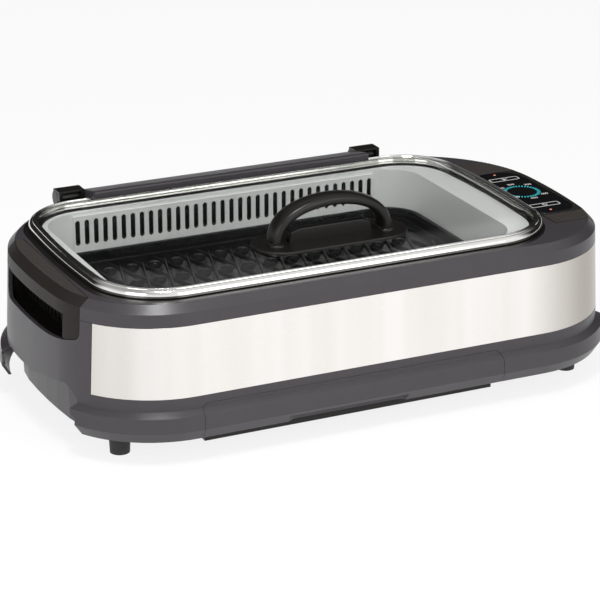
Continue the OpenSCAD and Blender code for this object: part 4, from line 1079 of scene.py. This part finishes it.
DASHES = 36
dashes = build("ring_dashes", *[dash(2 * pi * k / DASHES) for k in range(DASHES)])
present(dashes, "base", "light_guide", coat="teal_light")


# %% Keys and pictograms
KEY_L, KEY_D, KEY_LINE, KEY_R = 30, 8.6, 0.75, 2.2
FAN_KEY, POWER_KEY = (226.0, 28.9), (222.4, -51.6)


def border(x, y, length, depth, line, r):
    """A thin frame with round corners: the outline of a key."""
    a, b = length / 2, depth / 2
    outer = rounded(x - a, x + a, y - b, y + b, r)
    inner = rounded(x - a + line, x + a - line, y - b + line, y + b - line, r - line)
    loops = [(outer, 0), (outer, PRINT), (inner, PRINT), (inner, 0)]
    return loft([[(u, v, LENS_TOP + z) for u, v in points] for points, z in loops], wrap=True)


def petal(x, y, turn):
    shape = [(u * 1.5 + 1.6, v * 0.75) for u, v in arc(0, 0, 1, 0, 2 * pi, 12)[:-1]]
    points = [(x + u * cos(turn) - v * sin(turn), y + u * sin(turn) + v * cos(turn)) for u, v in shape]
    return prism(points, LENS_TOP, LENS_TOP + PRINT)


def open_ring(x, y, r, line, gap):
    """A ring with a gap at its far side, as in the power symbol."""
    a0, a1 = pi / 2 + gap, pi / 2 + 2 * pi - gap
    return prism(arc(x, y, r, a0, a1, 24) + arc(x, y, r - line, a1, a0, 24), LENS_TOP, LENS_TOP + PRINT)


marks = [border(*key, KEY_L, KEY_D, KEY_LINE, KEY_R) for key in (FAN_KEY, POWER_KEY)]
marks += [petal(*FAN_KEY, 2 * pi * k / 3) for k in range(3)]
marks.append(open_ring(*POWER_KEY, 2.4, 0.7, 0.6))
bar_x, bar_y = POWER_KEY
marks.append(box((bar_x - 0.35, bar_y + 0.4, LENS_TOP), (bar_x + 0.35, bar_y + 3, LENS_TOP + PRINT)))
present(build("key_prints", *marks), "base", "lens_black", coat="white_print")

LAMPS_AT = [(224.2, 43.9), (220.1, -66)]
LAMP_PROFILE = [(1.2, 0), (1.1, PRINT * 3), (0.5, PRINT * 5)]
leds = build("red_lamps", *[lathe((x, y, LENS_TOP), LAMP_PROFILE, 16) for x, y in LAMPS_AT])
present(leds, "base", "light_guide", coat="red_light")

# %% Temperatures round the ring
LABELS = {"200": (209.3, -22.3), "250": (209.5, 6.5), "300": (223.4, 12.2), "350": (238.2, 6.2),
          "400": (238.4, -24.0), "450": (223.5, -30.8)}
LABEL_SIZE = 5.0


def number(text, x, y):
    curve = bpy.data.curves.new("number", "FONT")
    curve.body = text
    curve.size = LABEL_SIZE * MM
    curve.extrude = PRINT / 2 * MM
    curve.align_x = "CENTER"
    curve.align_y = "CENTER"
    letters = bpy.data.objects.new("number", curve)
    bpy.context.collection.objects.link(letters)
    graph = bpy.context.evaluated_depsgraph_get()
    mesh = bpy.data.meshes.new_from_object(letters.evaluated_get(graph))
    bpy.data.objects.remove(letters)
    middle = LENS_TOP + PRINT / 2
    points = [(v.co.x / MM + x, v.co.y / MM + y, v.co.z / MM + middle) for v in mesh.vertices]
    return points, [list(p.vertices) for p in mesh.polygons]


numbers = build("ring_numbers", *[number(text, *at) for text, at in LABELS.items()])
present(numbers, "base", "lens_black", coat="white_print")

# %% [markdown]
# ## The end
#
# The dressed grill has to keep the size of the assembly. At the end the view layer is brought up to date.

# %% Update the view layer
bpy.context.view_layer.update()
